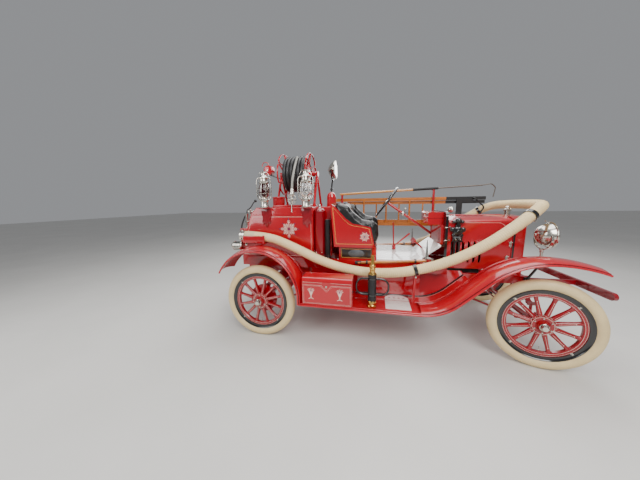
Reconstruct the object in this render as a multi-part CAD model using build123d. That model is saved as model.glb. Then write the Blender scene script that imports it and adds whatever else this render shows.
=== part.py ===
"""Fire engine of the early 1920s: a pumper body on a light car chassis.

Millimetres. +X runs forward, +Y to the vehicle's left, +Z up. The origin is at the middle of the
vehicle's length and width, on the floor. Stations along the length are written from the rear axle,
and every solid moves forward by REAR_AXLE_X when it is written out.
"""
import os
from math import asin, cos, degrees, pi, radians, sin, tan

from build123d import *

# Driving dimensions
WHEELBASE = 2540.0
TRACK = 1422.0
FRONT_OVERHANG = 446.0
STEER_REST = -15.0

# Wheels
WHEEL_R = 381.0
TYRE_SECTION = 89.0
RIM_R = 292.0
RIM_WIDTH = 62.0
FELLOE_R = 272.0
FELLOE_DEPTH = 34.0
FELLOE_WIDTH = 38.0
SPOKES = 12
SPOKE_R_OUT = 14.0
SPOKE_R_IN = 19.0
HUB_FLANGE_R = 76.0
HUB_FLANGE_HALF = 20.0
HUB_NECK = 6.0
HUB_R = 34.0
HUB_LENGTH = 118.0
HUB_CAP_R = 27.0
HUB_CAP_LENGTH = 34.0
SPINDLE_R = 14.0
RUNNING_GAP = 0.05

# Frame
RAIL_OUTSIDE = 340.0
RAIL_DEPTH = 76.0
RAIL_FLANGE = 38.0
RAIL_WALL = 5.0
RAIL_TOP = 676.0
FRAME_REAR = -330.0
FRAME_FRONT = WHEELBASE + 60.0
CROSS_MEMBER_WIDTH = 60.0
BUMPER_HALF = 700.0
BUMPER_DEPTH = 60.0
BUMPER_T = 26.0
BUMPER_WALL = 5.0
BUMPER_X = WHEELBASE + FRONT_OVERHANG - BUMPER_T
BUMPER_Z = 640.0
BUMPER_ARM_T = 12.0
HITCH_BORE_R = 13.0
HITCH_PLATE_T = 14.0
HITCH_REACH = 46.0
HITCH_WIDTH = 90.0

# Axles and springs
KINGPIN_Y = TRACK / 2 - 95.0
KINGPIN_R = 9.0
KNUCKLE_R = 20.0
KNUCKLE_HEIGHT = 66.0
YOKE_GAP = 0.5
YOKE_LUG_R = 20.0
YOKE_LUG_T = 14.0
BEAM_Z = 336.0
BEAM_DEPTH = 42.0
BEAM_WIDTH = 28.0
BEAM_WEB = 9.0
RADIUS_ROD_FRONT = 1300.0
ROD_BALL_BACK = 620.0
ROD_BALL_Z = 418.0
ARM_LENGTH = 150.0
ARM_Z = 372.0
ARM_T = 12.0
ARM_WIDTH = 18.0
EYE_R = 14.0
EYE_PIN_R = 6.0
TIE_ROD_R = 7.0
DRAG_LINK_R = 5.5
DRAG_CUP_R = 15.0
EYE_HEIGHT = 16.0
LOOSE_GAP = 0.6
AXLE_TUBE_R = 32.0
DIFF_R = 132.0
DIFF_HALF = 120.0
BRAKE_R = 150.0
BRAKE_T = 14.0
TORQUE_TUBE_R = 27.0
SPRING_WIDTH = 45.0
LEAF_T = 7.0
LEAVES = 6
FRONT_SPRING_HALF = 470.0
FRONT_SPRING_RISE = 165.0
REAR_SPRING_HALF = 500.0
REAR_SPRING_RISE = 150.0
SPRING_TOP = 642.0
SPRING_SEAT_HALF = 60.0
SPRING_EYE_R = 13.0

# Steering
COLUMN_HUB_BACK = 554.0
COLUMN_HUB_Z = 1389.0
COLUMN_SLOPE = 36.0
COLUMN_R = 15.0
COLUMN_LENGTH = 1250.0
STEERING_WHEEL_R = 205.0
STEERING_RIM_R = 12.0
STEERING_SPOKES = 4
PITMAN_LENGTH = 130.0
PITMAN_REST = 17.5

# Body
TANK_HALF = 430.0
SILL_T = 22.0
SILL_HALF = TANK_HALF + SILL_T
COLUMN_Y = min(RAIL_OUTSIDE - 105.0, SILL_HALF - 217.0)
SILL_LOW = 690.0
SILL_TOP = 796.0
FLOOR_T = 14.0
DASH_X = WHEELBASE - 690.0
TOE_LENGTH = 210.0
FLOOR_FRONT = DASH_X - TOE_LENGTH
COLUMN_HUB_X = DASH_X - COLUMN_HUB_BACK
DASH_T = 24.0
DASH_HALF = 306.0
DASH_LOW = 706.0
DASH_TOP = 1285.0
DASH_CORNER_R = 55.0
COIL_BOX_DEPTH = 150.0
COIL_BOX_LOW = 1150.0
COIL_BOX_HALF = 224.0
TANK_LOW = 745.0
TANK_TOP = 1348.0
RISER_FRONT = 1182.0
FLOOR_REAR = RISER_FRONT + 1.0
RISER_REAR = 795.0
RISER_HALF = TANK_HALF
RISER_TOP = 930.0
PANEL_T = 14.0
SEAT_OVERHANG = 28.0
SEAT_HALF = RISER_HALF + SEAT_OVERHANG
SEAT_LOW = 943.0
SEAT_WALL = 16.0
CUSHION_TOP = 1095.0

# Hood and radiator
HOOD_REAR = DASH_X + DASH_T + 2.0
HOOD_FRONT = WHEELBASE - 88.0
HOOD_LOW = 712.0
HOOD_SHOULDER = 1205.0
HOOD_TOP = 1240.0
HOOD_HALF_REAR = 290.0
HOOD_HALF_FRONT = 264.0
HOOD_CORNER = 26.0
HOOD_WALL = 4.0
LOUVRES = 6
LOUVRE_FIRST = HOOD_REAR + 46.0
LOUVRE_PITCH = 52.0
LOUVRE_LOW = 778.0
LOUVRE_TOP = 990.0
LOUVRE_WIDTH = 20.0
RADIATOR_DEPTH = 102.0
RADIATOR_GAP = 6.0
RADIATOR_FRONT = HOOD_FRONT + RADIATOR_GAP + RADIATOR_DEPTH
RADIATOR_LOW = 677.0
RADIATOR_TOP = 1238.0
RADIATOR_RIM = 42.0
RADIATOR_RECESS = 14.0
CAP_NECK_R = 26.0
CAP_TOP = 1330.0

# Fenders and running boards
FENDER_OUTER = 842.0
FENDER_CROWN = 34.0
SHEET = 3.0
BEAD_R = 8.0
BOARD_TOP = 425.0
BOARD_T = 12.0
PLATE_T = 3.0
REAR_FENDER_X = 8.0
REAR_FENDER_Z = 484.0
REAR_FENDER_R = 447.0
REAR_FENDER_TAIL = 28.0
RAMP_START = WHEELBASE - 968.0
RAMP_FILLET = 410.0
RAMP_ANGLE = 43.0
RAMP_LENGTH = 330.0
CROWN_FILLET = 557.0
NOSE_RADIUS = 980.0
NOSE_ANGLE = 20.0

# Running-board gear
BOX_REAR = 493.0
BOX_FRONT = 972.0
BOX_OUTER = FENDER_OUTER - 27.0
AXE_Y = SILL_HALF + 48.0
HOSE_Y = AXE_Y + 100.0
BOX_INNER = HOSE_Y + 62.0
FENDER_INNER = HOSE_Y - 34.0
BOX_LID_Z = 641.0
BOX_TOP = 700.0
BOX_WALL = 3.0
LID_GAP = 1.5
LID_NOSE_R = 42.0
HINGE_R = 4.0
PIPE_X = 1150.0
PIPE_Y = (BOX_INNER + BOX_OUTER) / 2 + 3.5
PIPE_LENGTH = 495.0

# Suction hose
HOSE_R = 47.5
HOSE_END_X = -195.0
HOSE_END_Z = 1056.0
HOSE_BORE_R = 38.0
STRAP_WIDTH = 30.0
STRAP_GAP = 0.5
TROUGH_LENGTH = 126.0
POST_X = RAMP_START - 31.0
POST_R = 12.0
BRACKET_X = HOOD_FRONT - 12.0
COUPLING_R = 54.0
COUPLING_LENGTH = 50.0

# Reel
REEL_Z = 1738.0
REEL_REAR = 88.0
REEL_FRONT = 344.0
REEL_R = 215.0
REEL_FLANGE_R = 256.0
REEL_BAR = 7.0
REEL_FLARE = 34.0
REEL_DRUM_R = 70.0
REEL_AXLE_R = 16.0
REEL_PETALS = 6
PETAL_FOOT_R = 66.0
PETAL_OUT = 11.0
LEAD_R = 13.0
STAND_REAR = 0.0
STAND_FRONT = 462.0
STAND_SPREAD = 170.0
STAND_TUBE_R = 13.0

# Engine and exhaust
ENGINE_REAR = HOOD_REAR + 12.0
ENGINE_FRONT = WHEELBASE - 300.0
ENGINE_HALF = 140.0
ENGINE_LOW = 455.0
ENGINE_TOP = 960.0
CRANK_Z = 530.0
EXHAUST_Y = 215.0
EXHAUST_Z = 500.0
MUFFLER_R = 58.0

# Body details
TOE_TOP_Z = 950.0
TANK_REAR_X = -340.0
TANK_DECK = 1109.0
TANK_FRONT = 510.0
TANK_NOSE = 694.0
TANK_NOSE_HALF = TANK_HALF - 130.0
HATCH_RISE = 24.0
ARM_PAD = 85.0
AIR_R = 58.0
AIR_X = 574.0
AIR_HEIGHT = 538.0
RISER_PIPE_R = 20.0
RISER_PIPE_X = 668.0
DOME_X = 636.0
DOME_R = 56.0
HEADLAMP = (RADIATOR_FRONT + 85.0, -400.0, 1082.0)

# Ladder, pole, axes and lanterns
LADDER_Y = SILL_HALF + 48.0
LADDER_REAR = 600.0
LADDER_FRONT = WHEELBASE - 50.0
LADDER_WOOD_END = LADDER_FRONT - 450.0
LADDER_STAND_R = 14.0
LADDER_STANDS = ((700.0, 1488.0), (DASH_X + 35.0, 1537.0))
LADDER_TOP = 1442.0
LADDER_LOW = 1110.0
LADDER_RAIL = 42.0
LADDER_PITCH = 300.0
PIKE_Y = LADDER_Y + 45.0
AXE_Z = 782.0
AXE_HANDLE_R = 14.0
LANTERN_Y = TANK_HALF + 38.0
LANTERN_BASE = 1350.0
LANTERNS_X = (-22.0, 450.0)

# The rear fender's crown is the rearmost point, and the bumper the foremost
REAR_END = REAR_FENDER_X - (REAR_FENDER_R + FENDER_CROWN) * cos(radians(REAR_FENDER_TAIL))
FRONT_END = WHEELBASE + FRONT_OVERHANG
REAR_AXLE_X = -(REAR_END + FRONT_END) / 2

parts = {}


def block(x0, x1, y0, y1, z0, z1):
    """A box given by its two corners."""
    return Pos((x0 + x1) / 2, (y0 + y1) / 2, (z0 + z1) / 2) * Box(abs(x1 - x0), abs(y1 - y0), abs(z1 - z0))


def rod(start, end, radius):
    """A round bar between two points."""
    a, b = Vector(*start), Vector(*end)
    plane = Plane(origin=a, z_dir=(b - a).normalized())
    return Solid.make_cylinder(radius, (b - a).length, plane)


def cone(start, end, radius_start, radius_end):
    """A tapered round bar between two points."""
    a, b = Vector(*start), Vector(*end)
    plane = Plane(origin=a, z_dir=(b - a).normalized())
    return Solid.make_cone(radius_start, radius_end, (b - a).length, plane)


def side_plane(y):
    """The plane across the vehicle at y, with its own x forward and y up."""
    return Plane(origin=(0, y, 0), x_dir=(1, 0, 0), z_dir=(0, -1, 0))


def side_profile(points, y0, y1):
    """A flat outline of (x, z) points, made into a slab from y0 to y1."""
    face = side_plane(min(y0, y1)) * make_face(Polyline(*points, close=True))
    return extrude(face, amount=-abs(y1 - y0))


def cross_profile(points, x0, x1):
    """A flat outline of (y, z) points, made into a slab from x0 to x1."""
    plane = Plane(origin=(x0, 0, 0), x_dir=(0, 1, 0), z_dir=(1, 0, 0))
    return extrude(plane * make_face(Polyline(*points, close=True)), amount=x1 - x0)


def turned(points, origin, axis):
    """A solid of revolution: (radius, distance along the axis) points about a line."""
    plane = Plane(origin=origin, z_dir=axis)
    face = make_face(Polyline(*[(r, 0, h) for r, h in points], close=True))
    return plane * revolve(face, Axis.Z)


def pipe(points, radii, radius):
    """A round tube's outer solid along straight runs joined by arcs."""
    path = FilletPolyline(*points, radius=radii) if len(points) > 2 else Line(*points)
    section = Plane(origin=path @ 0, z_dir=path % 0) * Circle(radius)
    return sweep(section, path=path)


def mirrored(shape):
    """The same shape on the other side of the vehicle."""
    return mirror(shape, about=Plane.XZ)


def pair(shape):
    """A shape and its mirror image, as two solids."""
    return Compound(children=list(shape.solids()) + list(mirrored(shape).solids()))


def add(name, shape):
    parts[name] = shape


def frame_rails():
    low = RAIL_TOP - RAIL_DEPTH
    inner = RAIL_OUTSIDE - RAIL_FLANGE
    web = RAIL_OUTSIDE - RAIL_WALL
    channel = [(RAIL_OUTSIDE, low), (RAIL_OUTSIDE, RAIL_TOP), (inner, RAIL_TOP),
               (inner, RAIL_TOP - RAIL_WALL), (web, RAIL_TOP - RAIL_WALL), (web, low + RAIL_WALL),
               (inner, low + RAIL_WALL), (inner, low)]
    rail = cross_profile(channel, FRAME_REAR, FRAME_FRONT)
    frame = rail + mirrored(rail)
    for station in (FRAME_REAR + CROSS_MEMBER_WIDTH / 2, 0.0, WHEELBASE / 2, WHEELBASE):
        half = CROSS_MEMBER_WIDTH / 2
        member = block(station - half, station + half, -web, web, low, RAIL_TOP)
        member -= block(station - half + RAIL_WALL, station + half - RAIL_WALL, -web, web,
                        low - 1, RAIL_TOP - RAIL_WALL)
        frame += member
    for station, reach, rise in ((0.0, REAR_SPRING_HALF, REAR_SPRING_RISE),
                                 (WHEELBASE, FRONT_SPRING_HALF, FRONT_SPRING_RISE)):
        radius = (reach * reach + rise * rise) / (2 * rise)
        seat = block(station - SPRING_WIDTH / 2, station + SPRING_WIDTH / 2, -SPRING_SEAT_HALF, SPRING_SEAT_HALF,
                     SPRING_TOP - 12, RAIL_TOP - RAIL_WALL + 1)
        seat -= rod((station - SPRING_WIDTH, 0, SPRING_TOP - radius), (station + SPRING_WIDTH, 0, SPRING_TOP - radius),
                    radius)
        frame += seat
    plate_z = RAIL_TOP - RAIL_DEPTH / 2
    plate = block(FRAME_REAR - HITCH_REACH, FRAME_REAR + 4, -HITCH_WIDTH / 2, HITCH_WIDTH / 2,
                  plate_z - HITCH_PLATE_T / 2, plate_z + HITCH_PLATE_T / 2)
    bore_x = FRAME_REAR - HITCH_REACH / 2
    plate -= rod((bore_x, 0, plate_z - HITCH_PLATE_T), (bore_x, 0, plate_z + HITCH_PLATE_T), HITCH_BORE_R)
    return frame + plate


def front_bumper():
    low, top = BUMPER_Z - BUMPER_DEPTH / 2, BUMPER_Z + BUMPER_DEPTH / 2
    straight = BUMPER_HALF - BUMPER_DEPTH / 2
    bar = block(BUMPER_X, BUMPER_X + BUMPER_T, -straight, straight, low, top)
    groove = block(BUMPER_X + BUMPER_WALL, BUMPER_X + BUMPER_T + 1, -straight, straight,
                   low + BUMPER_WALL, top - BUMPER_WALL)
    for side in (-1, 1):
        bar += rod((BUMPER_X, side * straight, BUMPER_Z), (BUMPER_X + BUMPER_T, side * straight, BUMPER_Z),
                   BUMPER_DEPTH / 2)
        groove += rod((BUMPER_X + BUMPER_WALL, side * straight, BUMPER_Z),
                      (BUMPER_X + BUMPER_T + 1, side * straight, BUMPER_Z), BUMPER_DEPTH / 2 - BUMPER_WALL)
    bar -= groove
    arm_y = RAIL_OUTSIDE - RAIL_WALL - BUMPER_ARM_T
    arm = block(FRAME_FRONT + 1, BUMPER_X + 1, arm_y, arm_y + BUMPER_ARM_T, BUMPER_Z - 22, BUMPER_Z + 22)
    arm += block(WHEELBASE + CROSS_MEMBER_WIDTH / 2 + 1, FRAME_FRONT + 2, arm_y, arm_y + BUMPER_ARM_T, BUMPER_Z - 22, BUMPER_Z + 22)
    return bar + arm + mirrored(arm)


def leaf_spring(x, z_top, half, rise):
    """A transverse spring: leaves stacked under each other, the longest on top, its ends low."""
    radius = (half * half + rise * rise) / (2 * rise)
    centre = z_top - radius
    spring = None
    for number in range(LEAVES):
        outer = radius - number * LEAF_T
        reach = half * (1 - number / (LEAVES + 1.0))
        angle = degrees(asin(min(1, reach / outer)))
        plane = Plane(origin=(x - SPRING_WIDTH / 2, 0, centre), x_dir=(0, 1, 0), z_dir=(1, 0, 0))
        ring = Circle(outer) - Circle(outer - LEAF_T)
        leaf = extrude(plane * ring, amount=SPRING_WIDTH)
        wedge = [(0, centre), (-2 * outer * sin(radians(angle)), centre + 2 * outer * cos(radians(angle))),
                 (2 * outer * sin(radians(angle)), centre + 2 * outer * cos(radians(angle)))]
        leaf &= cross_profile(wedge, x - SPRING_WIDTH, x + SPRING_WIDTH)
        spring = leaf if spring is None else spring + leaf
    eye_z = z_top - rise - LEAF_T / 2
    for side in (-1, 1):
        spring += rod((x - SPRING_WIDTH / 2, side * half, eye_z), (x + SPRING_WIDTH / 2, side * half, eye_z),
                      SPRING_EYE_R)
    return spring


def leaf_springs():
    front = leaf_spring(WHEELBASE, SPRING_TOP, FRONT_SPRING_HALF, FRONT_SPRING_RISE)
    rear = leaf_spring(0.0, SPRING_TOP, REAR_SPRING_HALF, REAR_SPRING_RISE)
    return Compound(children=list(front.solids()) + list(rear.solids()))


def spring_eye_z(rise):
    return SPRING_TOP - rise - LEAF_T / 2


def front_axle():
    yoke_low = WHEEL_R - KNUCKLE_HEIGHT / 2 - YOKE_GAP
    yoke_top = WHEEL_R + KNUCKLE_HEIGHT / 2 + YOKE_GAP
    web_y = KINGPIN_Y - KNUCKLE_R - 8
    beam = block(WHEELBASE - BEAM_WIDTH / 2, WHEELBASE + BEAM_WIDTH / 2, -web_y, web_y,
                 BEAM_Z - BEAM_DEPTH / 2, BEAM_Z + BEAM_DEPTH / 2)
    for side in (-1, 1):
        edge = side * BEAM_WIDTH / 2
        beam -= block(WHEELBASE + side * BEAM_WEB / 2, WHEELBASE + edge + side, -web_y + 60, web_y - 60,
                      BEAM_Z - BEAM_DEPTH / 2 + 8, BEAM_Z + BEAM_DEPTH / 2 - 8)
    for side in (-1, 1):
        y = side * KINGPIN_Y
        inner = side * (web_y - 14)
        web = block(WHEELBASE - BEAM_WIDTH / 2, WHEELBASE + BEAM_WIDTH / 2, inner, side * web_y,
                    BEAM_Z - BEAM_DEPTH / 2, yoke_top + YOKE_LUG_T)
        beam += web
        for low in (yoke_low - YOKE_LUG_T, yoke_top):
            beam += block(WHEELBASE - BEAM_WIDTH / 2, WHEELBASE + BEAM_WIDTH / 2, side * (web_y - 1), y,
                          low, low + YOKE_LUG_T)
            beam += rod((WHEELBASE, y, low), (WHEELBASE, y, low + YOKE_LUG_T), YOKE_LUG_R)
        beam += rod((WHEELBASE, y, yoke_low - YOKE_LUG_T - 8), (WHEELBASE, y, yoke_top + YOKE_LUG_T + 8),
                    KINGPIN_R)
        perch_y = side * (FRONT_SPRING_HALF + 30)
        eye_z = spring_eye_z(FRONT_SPRING_RISE)
        beam += rod((WHEELBASE, perch_y, BEAM_Z), (WHEELBASE, perch_y, eye_z), 12)
        beam += block(WHEELBASE - SPRING_WIDTH / 2 - 6, WHEELBASE + SPRING_WIDTH / 2 + 6,
                      perch_y - 9, perch_y + 9, eye_z - 14, eye_z + 14)
        beam += rod((WHEELBASE, perch_y, BEAM_Z - BEAM_DEPTH / 2 - 8),
                    (WHEELBASE - ROD_BALL_BACK + 10, side * 30, ROD_BALL_Z), 11)
    beam += Pos(WHEELBASE - ROD_BALL_BACK, 0, ROD_BALL_Z) * Sphere(34)
    return beam


def rear_axle():
    flare = 60.0
    housing = turned([(0, -DIFF_HALF - flare), (AXLE_TUBE_R, -DIFF_HALF - flare),
                      (AXLE_TUBE_R + 8, -DIFF_HALF), (DIFF_R * 0.82, -DIFF_HALF * 0.55),
                      (DIFF_R, -DIFF_HALF * 0.2), (DIFF_R, DIFF_HALF * 0.2),
                      (DIFF_R * 0.82, DIFF_HALF * 0.55), (AXLE_TUBE_R + 8, DIFF_HALF),
                      (AXLE_TUBE_R, DIFF_HALF + flare), (0, DIFF_HALF + flare)],
                     (0, 0, WHEEL_R), (0, 1, 0))
    plate_y = TRACK / 2 - HUB_LENGTH / 2 - 6
    housing += rod((0, -plate_y, WHEEL_R), (0, plate_y, WHEEL_R), AXLE_TUBE_R)
    tip = TRACK / 2 + HUB_LENGTH / 2 - 4
    housing += rod((0, -tip, WHEEL_R), (0, tip, WHEEL_R), SPINDLE_R)
    for side in (-1, 1):
        housing += rod((0, side * (plate_y - BRAKE_T), WHEEL_R), (0, side * plate_y, WHEEL_R), BRAKE_R)
        perch_y = side * (REAR_SPRING_HALF + 30)
        eye_z = spring_eye_z(REAR_SPRING_RISE)
        housing += rod((0, perch_y, WHEEL_R), (0, perch_y, eye_z), 13)
        housing += block(-SPRING_WIDTH / 2 - 6, SPRING_WIDTH / 2 + 6, perch_y - 9, perch_y + 9,
                         eye_z - 14, eye_z + 14)
        housing += rod((10, side * 590, WHEEL_R - 40), (RADIUS_ROD_FRONT, side * 20, 452), 10)
    housing += cone((60, 0, WHEEL_R), (220, 0, WHEEL_R + 9), 70, TORQUE_TUBE_R)
    housing += rod((100, 0, WHEEL_R), (ENGINE_REAR - 4, 0, 496), TORQUE_TUBE_R)
    return housing


def knuckle(side):
    """One steered spindle in the straight-ahead position, its arm pointing back."""
    y = side * KINGPIN_Y
    low = WHEEL_R - KNUCKLE_HEIGHT / 2
    body = rod((WHEELBASE, y, low), (WHEELBASE, y, low + KNUCKLE_HEIGHT), KNUCKLE_R)
    shoulder = TRACK / 2 - HUB_LENGTH / 2 - 6
    body += rod((WHEELBASE, y, WHEEL_R), (WHEELBASE, side * shoulder, WHEEL_R), SPINDLE_R + 9)
    body += rod((WHEELBASE, y, WHEEL_R),
                (WHEELBASE, side * (TRACK / 2 + HUB_LENGTH / 2 - 4), WHEEL_R), SPINDLE_R)
    body += block(WHEELBASE - ARM_LENGTH, WHEELBASE, y - ARM_WIDTH / 2, y + ARM_WIDTH / 2,
                  ARM_Z - ARM_T / 2, ARM_Z + ARM_T / 2)
    body += rod((WHEELBASE - ARM_LENGTH, y, ARM_Z - ARM_T / 2),
                (WHEELBASE - ARM_LENGTH, y, ARM_Z + ARM_T / 2), EYE_R)
    body += rod((WHEELBASE - ARM_LENGTH, y, ARM_Z),
                (WHEELBASE - ARM_LENGTH, y, ARM_Z + ARM_T / 2 + EYE_HEIGHT + 4), EYE_PIN_R)
    body -= rod((WHEELBASE, y, low - 1), (WHEELBASE, y, low + KNUCKLE_HEIGHT + 1), KINGPIN_R + RUNNING_GAP)
    return body


def steered(shape, side):
    """Turn a front-wheel piece about its kingpin to the rest position."""
    return shape.rotate(Axis((WHEELBASE, side * KINGPIN_Y, 0), (0, 0, 1)), STEER_REST)


def arm_eye(side):
    """The centre of a steering arm's eye at rest."""
    angle = radians(STEER_REST)
    return (WHEELBASE - ARM_LENGTH * cos(angle), side * KINGPIN_Y - ARM_LENGTH * sin(angle))


def column_point(distance):
    """A point on the steering column's line, measured down from the steering wheel's centre."""
    angle = radians(COLUMN_SLOPE)
    return (COLUMN_HUB_X + distance * cos(angle), COLUMN_Y, COLUMN_HUB_Z - distance * sin(angle))


def column_axis():
    angle = radians(COLUMN_SLOPE)
    return (cos(angle), 0, -sin(angle))


def pitman_eye():
    """The centre of the pitman arm's ball at rest."""
    base = column_point(COLUMN_LENGTH + 14)
    slope, swing = radians(COLUMN_SLOPE), radians(PITMAN_REST)
    reach = PITMAN_LENGTH * cos(swing)
    return (base[0] - reach * sin(slope), base[1] + PITMAN_LENGTH * sin(swing), base[2] - reach * cos(slope))


def tie_rod():
    low = ARM_Z + ARM_T / 2 + 0.5
    middle = low + EYE_HEIGHT / 2
    left, right = arm_eye(1), arm_eye(-1)
    bar = rod((right[0], right[1], middle), (left[0], left[1], middle), TIE_ROD_R)
    for eye in (left, right):
        bar += rod((eye[0], eye[1], low), (eye[0], eye[1], low + EYE_HEIGHT), EYE_R)
    for eye, gap in ((left, RUNNING_GAP), (right, LOOSE_GAP)):
        bar -= rod((eye[0], eye[1], low - 1), (eye[0], eye[1], low + EYE_HEIGHT + 1), EYE_PIN_R + gap)
    ball = pitman_eye()
    cup_z = ball[2] - 30
    bar += rod((left[0], ball[1], middle), (ball[0], ball[1], cup_z), DRAG_LINK_R)
    bar += rod((ball[0], ball[1], cup_z - 9), (ball[0], ball[1], cup_z + 5), DRAG_CUP_R)
    return bar


def pitman_arm():
    base = column_point(COLUMN_LENGTH + 4)
    tip = column_point(COLUMN_LENGTH + 24)
    middle = column_point(COLUMN_LENGTH + 14)
    ball = pitman_eye()
    arm = rod(base, tip, COLUMN_R + 5)
    arm += rod(middle, ball, 8)
    return arm + Pos(*ball) * Sphere(12)


def steering_column():
    tube = rod(column_point(24), column_point(COLUMN_LENGTH), COLUMN_R)
    tube += rod(column_point(COLUMN_LENGTH - 70), column_point(COLUMN_LENGTH), COLUMN_R + 12)
    end = column_point(COLUMN_LENGTH - 35)
    tube += block(end[0] - 20, end[0] + 20, COLUMN_Y, RAIL_OUTSIDE, RAIL_TOP + 0.5, RAIL_TOP + 16)
    return tube


def steering_wheel():
    plane = Plane(origin=column_point(0), z_dir=column_axis())
    rim = plane * Torus(STEERING_WHEEL_R, STEERING_RIM_R)
    wheel = rim + rod(column_point(-14), column_point(19), 34)
    for number in range(STEERING_SPOKES):
        angle = radians(45 + 360 * number / STEERING_SPOKES)
        end = plane.from_local_coords(Vector(STEERING_WHEEL_R * cos(angle), STEERING_WHEEL_R * sin(angle), 0))
        wheel += rod(column_point(0), tuple(end), 7)
    return wheel


def wheel():
    """The right wheel about its own centre: wooden spokes and felloe, rim, hub flanges and cap, with a
    running-fit bore from inside."""
    centre, out = (0, 0, 0), (0, -1, 0)
    half, lip = HUB_LENGTH / 2, RIM_WIDTH / 2
    body = turned([(RIM_R - 20, -lip + 6), (RIM_R - 8, -lip + 6), (RIM_R + 4, -lip), (RIM_R + 4, -lip + 6),
                   (RIM_R - 2, -lip + 12), (RIM_R - 2, lip - 12), (RIM_R + 4, lip - 6), (RIM_R + 4, lip),
                   (RIM_R - 8, lip - 6), (RIM_R - 20, lip - 6)], centre, out)
    inside = FELLOE_R - FELLOE_DEPTH
    body += turned([(inside, -FELLOE_WIDTH / 2), (FELLOE_R + 1, -FELLOE_WIDTH / 2),
                    (FELLOE_R + 1, FELLOE_WIDTH / 2), (inside, FELLOE_WIDTH / 2)], centre, out)
    for number in range(SPOKES):
        angle = 2 * pi * (number + 0.5) / SPOKES
        start = ((HUB_R + 6) * cos(angle), 0, (HUB_R + 6) * sin(angle))
        end = ((inside + 4) * cos(angle), 0, (inside + 4) * sin(angle))
        body += cone(start, end, SPOKE_R_IN, SPOKE_R_OUT)
    body += turned([(0, -half), (HUB_R, -half), (HUB_R, -HUB_FLANGE_HALF), (HUB_FLANGE_R, -HUB_FLANGE_HALF),
                    (HUB_FLANGE_R, HUB_FLANGE_HALF), (HUB_R + HUB_NECK, HUB_FLANGE_HALF), (HUB_R + HUB_NECK, half - 10),
                    (HUB_CAP_R + 4, half), (HUB_CAP_R, half), (HUB_CAP_R, half + HUB_CAP_LENGTH - 8),
                    (HUB_CAP_R - 8, half + HUB_CAP_LENGTH), (0, half + HUB_CAP_LENGTH)], centre, out)
    return body - rod((0, half + 1, 0), (0, -half + 3.5, 0), SPINDLE_R + RUNNING_GAP)


def tyre():
    """A smooth round-section tyre about its own centre."""
    ring = Plane(origin=(0, 0, 0), z_dir=(0, 1, 0)) * Torus(WHEEL_R - TYRE_SECTION / 2, TYRE_SECTION / 2)
    return ring - Solid.make_cylinder(RIM_R + 5, 2 * TYRE_SECTION, Plane(origin=(0, -TYRE_SECTION, 0), z_dir=(0, 1, 0)))


def fender_section(start, tangent, up):
    """The crowned sheet's cross-section with a bead along its outer lip."""
    plane = Plane(origin=start, x_dir=(0, -1, 0), z_dir=tangent)
    width = FENDER_OUTER - FENDER_INNER
    top = ThreePointArc((0, 0), (width / 2, up * FENDER_CROWN), (width, 0))
    low = ThreePointArc((width, -up * SHEET), (width / 2, up * (FENDER_CROWN - SHEET)), (0, -up * SHEET))
    face = make_face([top, Line((width, 0), (width, -up * SHEET)), low, Line((0, -up * SHEET), (0, 0))])
    return plane, face + Pos(width, -up * SHEET / 2) * Circle(BEAD_R)


def fender(path, up):
    """A fender swept along its path: up is 1 where the section's own y points away from the wheel."""
    plane, face = fender_section(path @ 0, path % 0, up)
    return sweep(plane * face, path=path)


def front_fender_path():
    plane = side_plane(-FENDER_INNER)
    first = JernArc((RAMP_START, BOARD_TOP), (1, 0), RAMP_FILLET, RAMP_ANGLE)
    ramp_tangent = first % 1
    ramp_end = (first @ 1) + ramp_tangent * RAMP_LENGTH
    ramp = Line(first @ 1, ramp_end)
    crown = JernArc(ramp_end, ramp_tangent, CROWN_FILLET, -RAMP_ANGLE)
    nose = JernArc(crown @ 1, crown % 1, NOSE_RADIUS, -NOSE_ANGLE)
    return plane * Wire([first, ramp, crown, nose])


def rear_fender_path():
    plane = side_plane(-FENDER_INNER)
    centre = (REAR_FENDER_X, REAR_FENDER_Z)

    def at(angle):
        return (centre[0] + REAR_FENDER_R * cos(angle), centre[1] + REAR_FENDER_R * sin(angle))

    arch = ThreePointArc(at(0.0), at(pi / 2), at(pi - radians(REAR_FENDER_TAIL)))
    skirt = Line((centre[0] + REAR_FENDER_R, BOARD_TOP), (centre[0] + REAR_FENDER_R, centre[1]))
    return plane * Wire([skirt, arch])


def running_board():
    front = RAMP_START
    rear = REAR_FENDER_X + REAR_FENDER_R + 2
    board = block(rear, front, -FENDER_OUTER + BEAD_R, -FENDER_INNER, BOARD_TOP - BOARD_T, BOARD_TOP)
    board += rod((rear + 2 * BEAD_R, -FENDER_OUTER + BEAD_R, BOARD_TOP - BOARD_T / 2),
                 (front, -FENDER_OUTER + BEAD_R, BOARD_TOP - BOARD_T / 2), BEAD_R)
    board += block(front - 297, front - 72, -HOSE_Y - 100, -FENDER_INNER - 8, BOARD_TOP - 1, BOARD_TOP + PLATE_T)
    for station in (rear + 180, front - 180):
        board += block(station - 20, station + 20, -FENDER_OUTER + 60, -RAIL_OUTSIDE + 2,
                       BOARD_TOP - BOARD_T - 16, BOARD_TOP - BOARD_T + 1)
        board += block(station - 20, station + 20, -RAIL_OUTSIDE - 8, -RAIL_OUTSIDE + 0,
                       BOARD_TOP - BOARD_T - 16, RAIL_TOP - 10)
    return board


def splash_apron():
    rear, front = 492.0, RAMP_START + 40
    points = [(-FENDER_INNER + 2, BOARD_TOP + 1), (-FENDER_INNER + 6, BOARD_TOP + 1), (-SILL_HALF + 4, SILL_LOW - 2),
              (-SILL_HALF, SILL_LOW - 2)]
    return cross_profile(points, rear, front)


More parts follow.
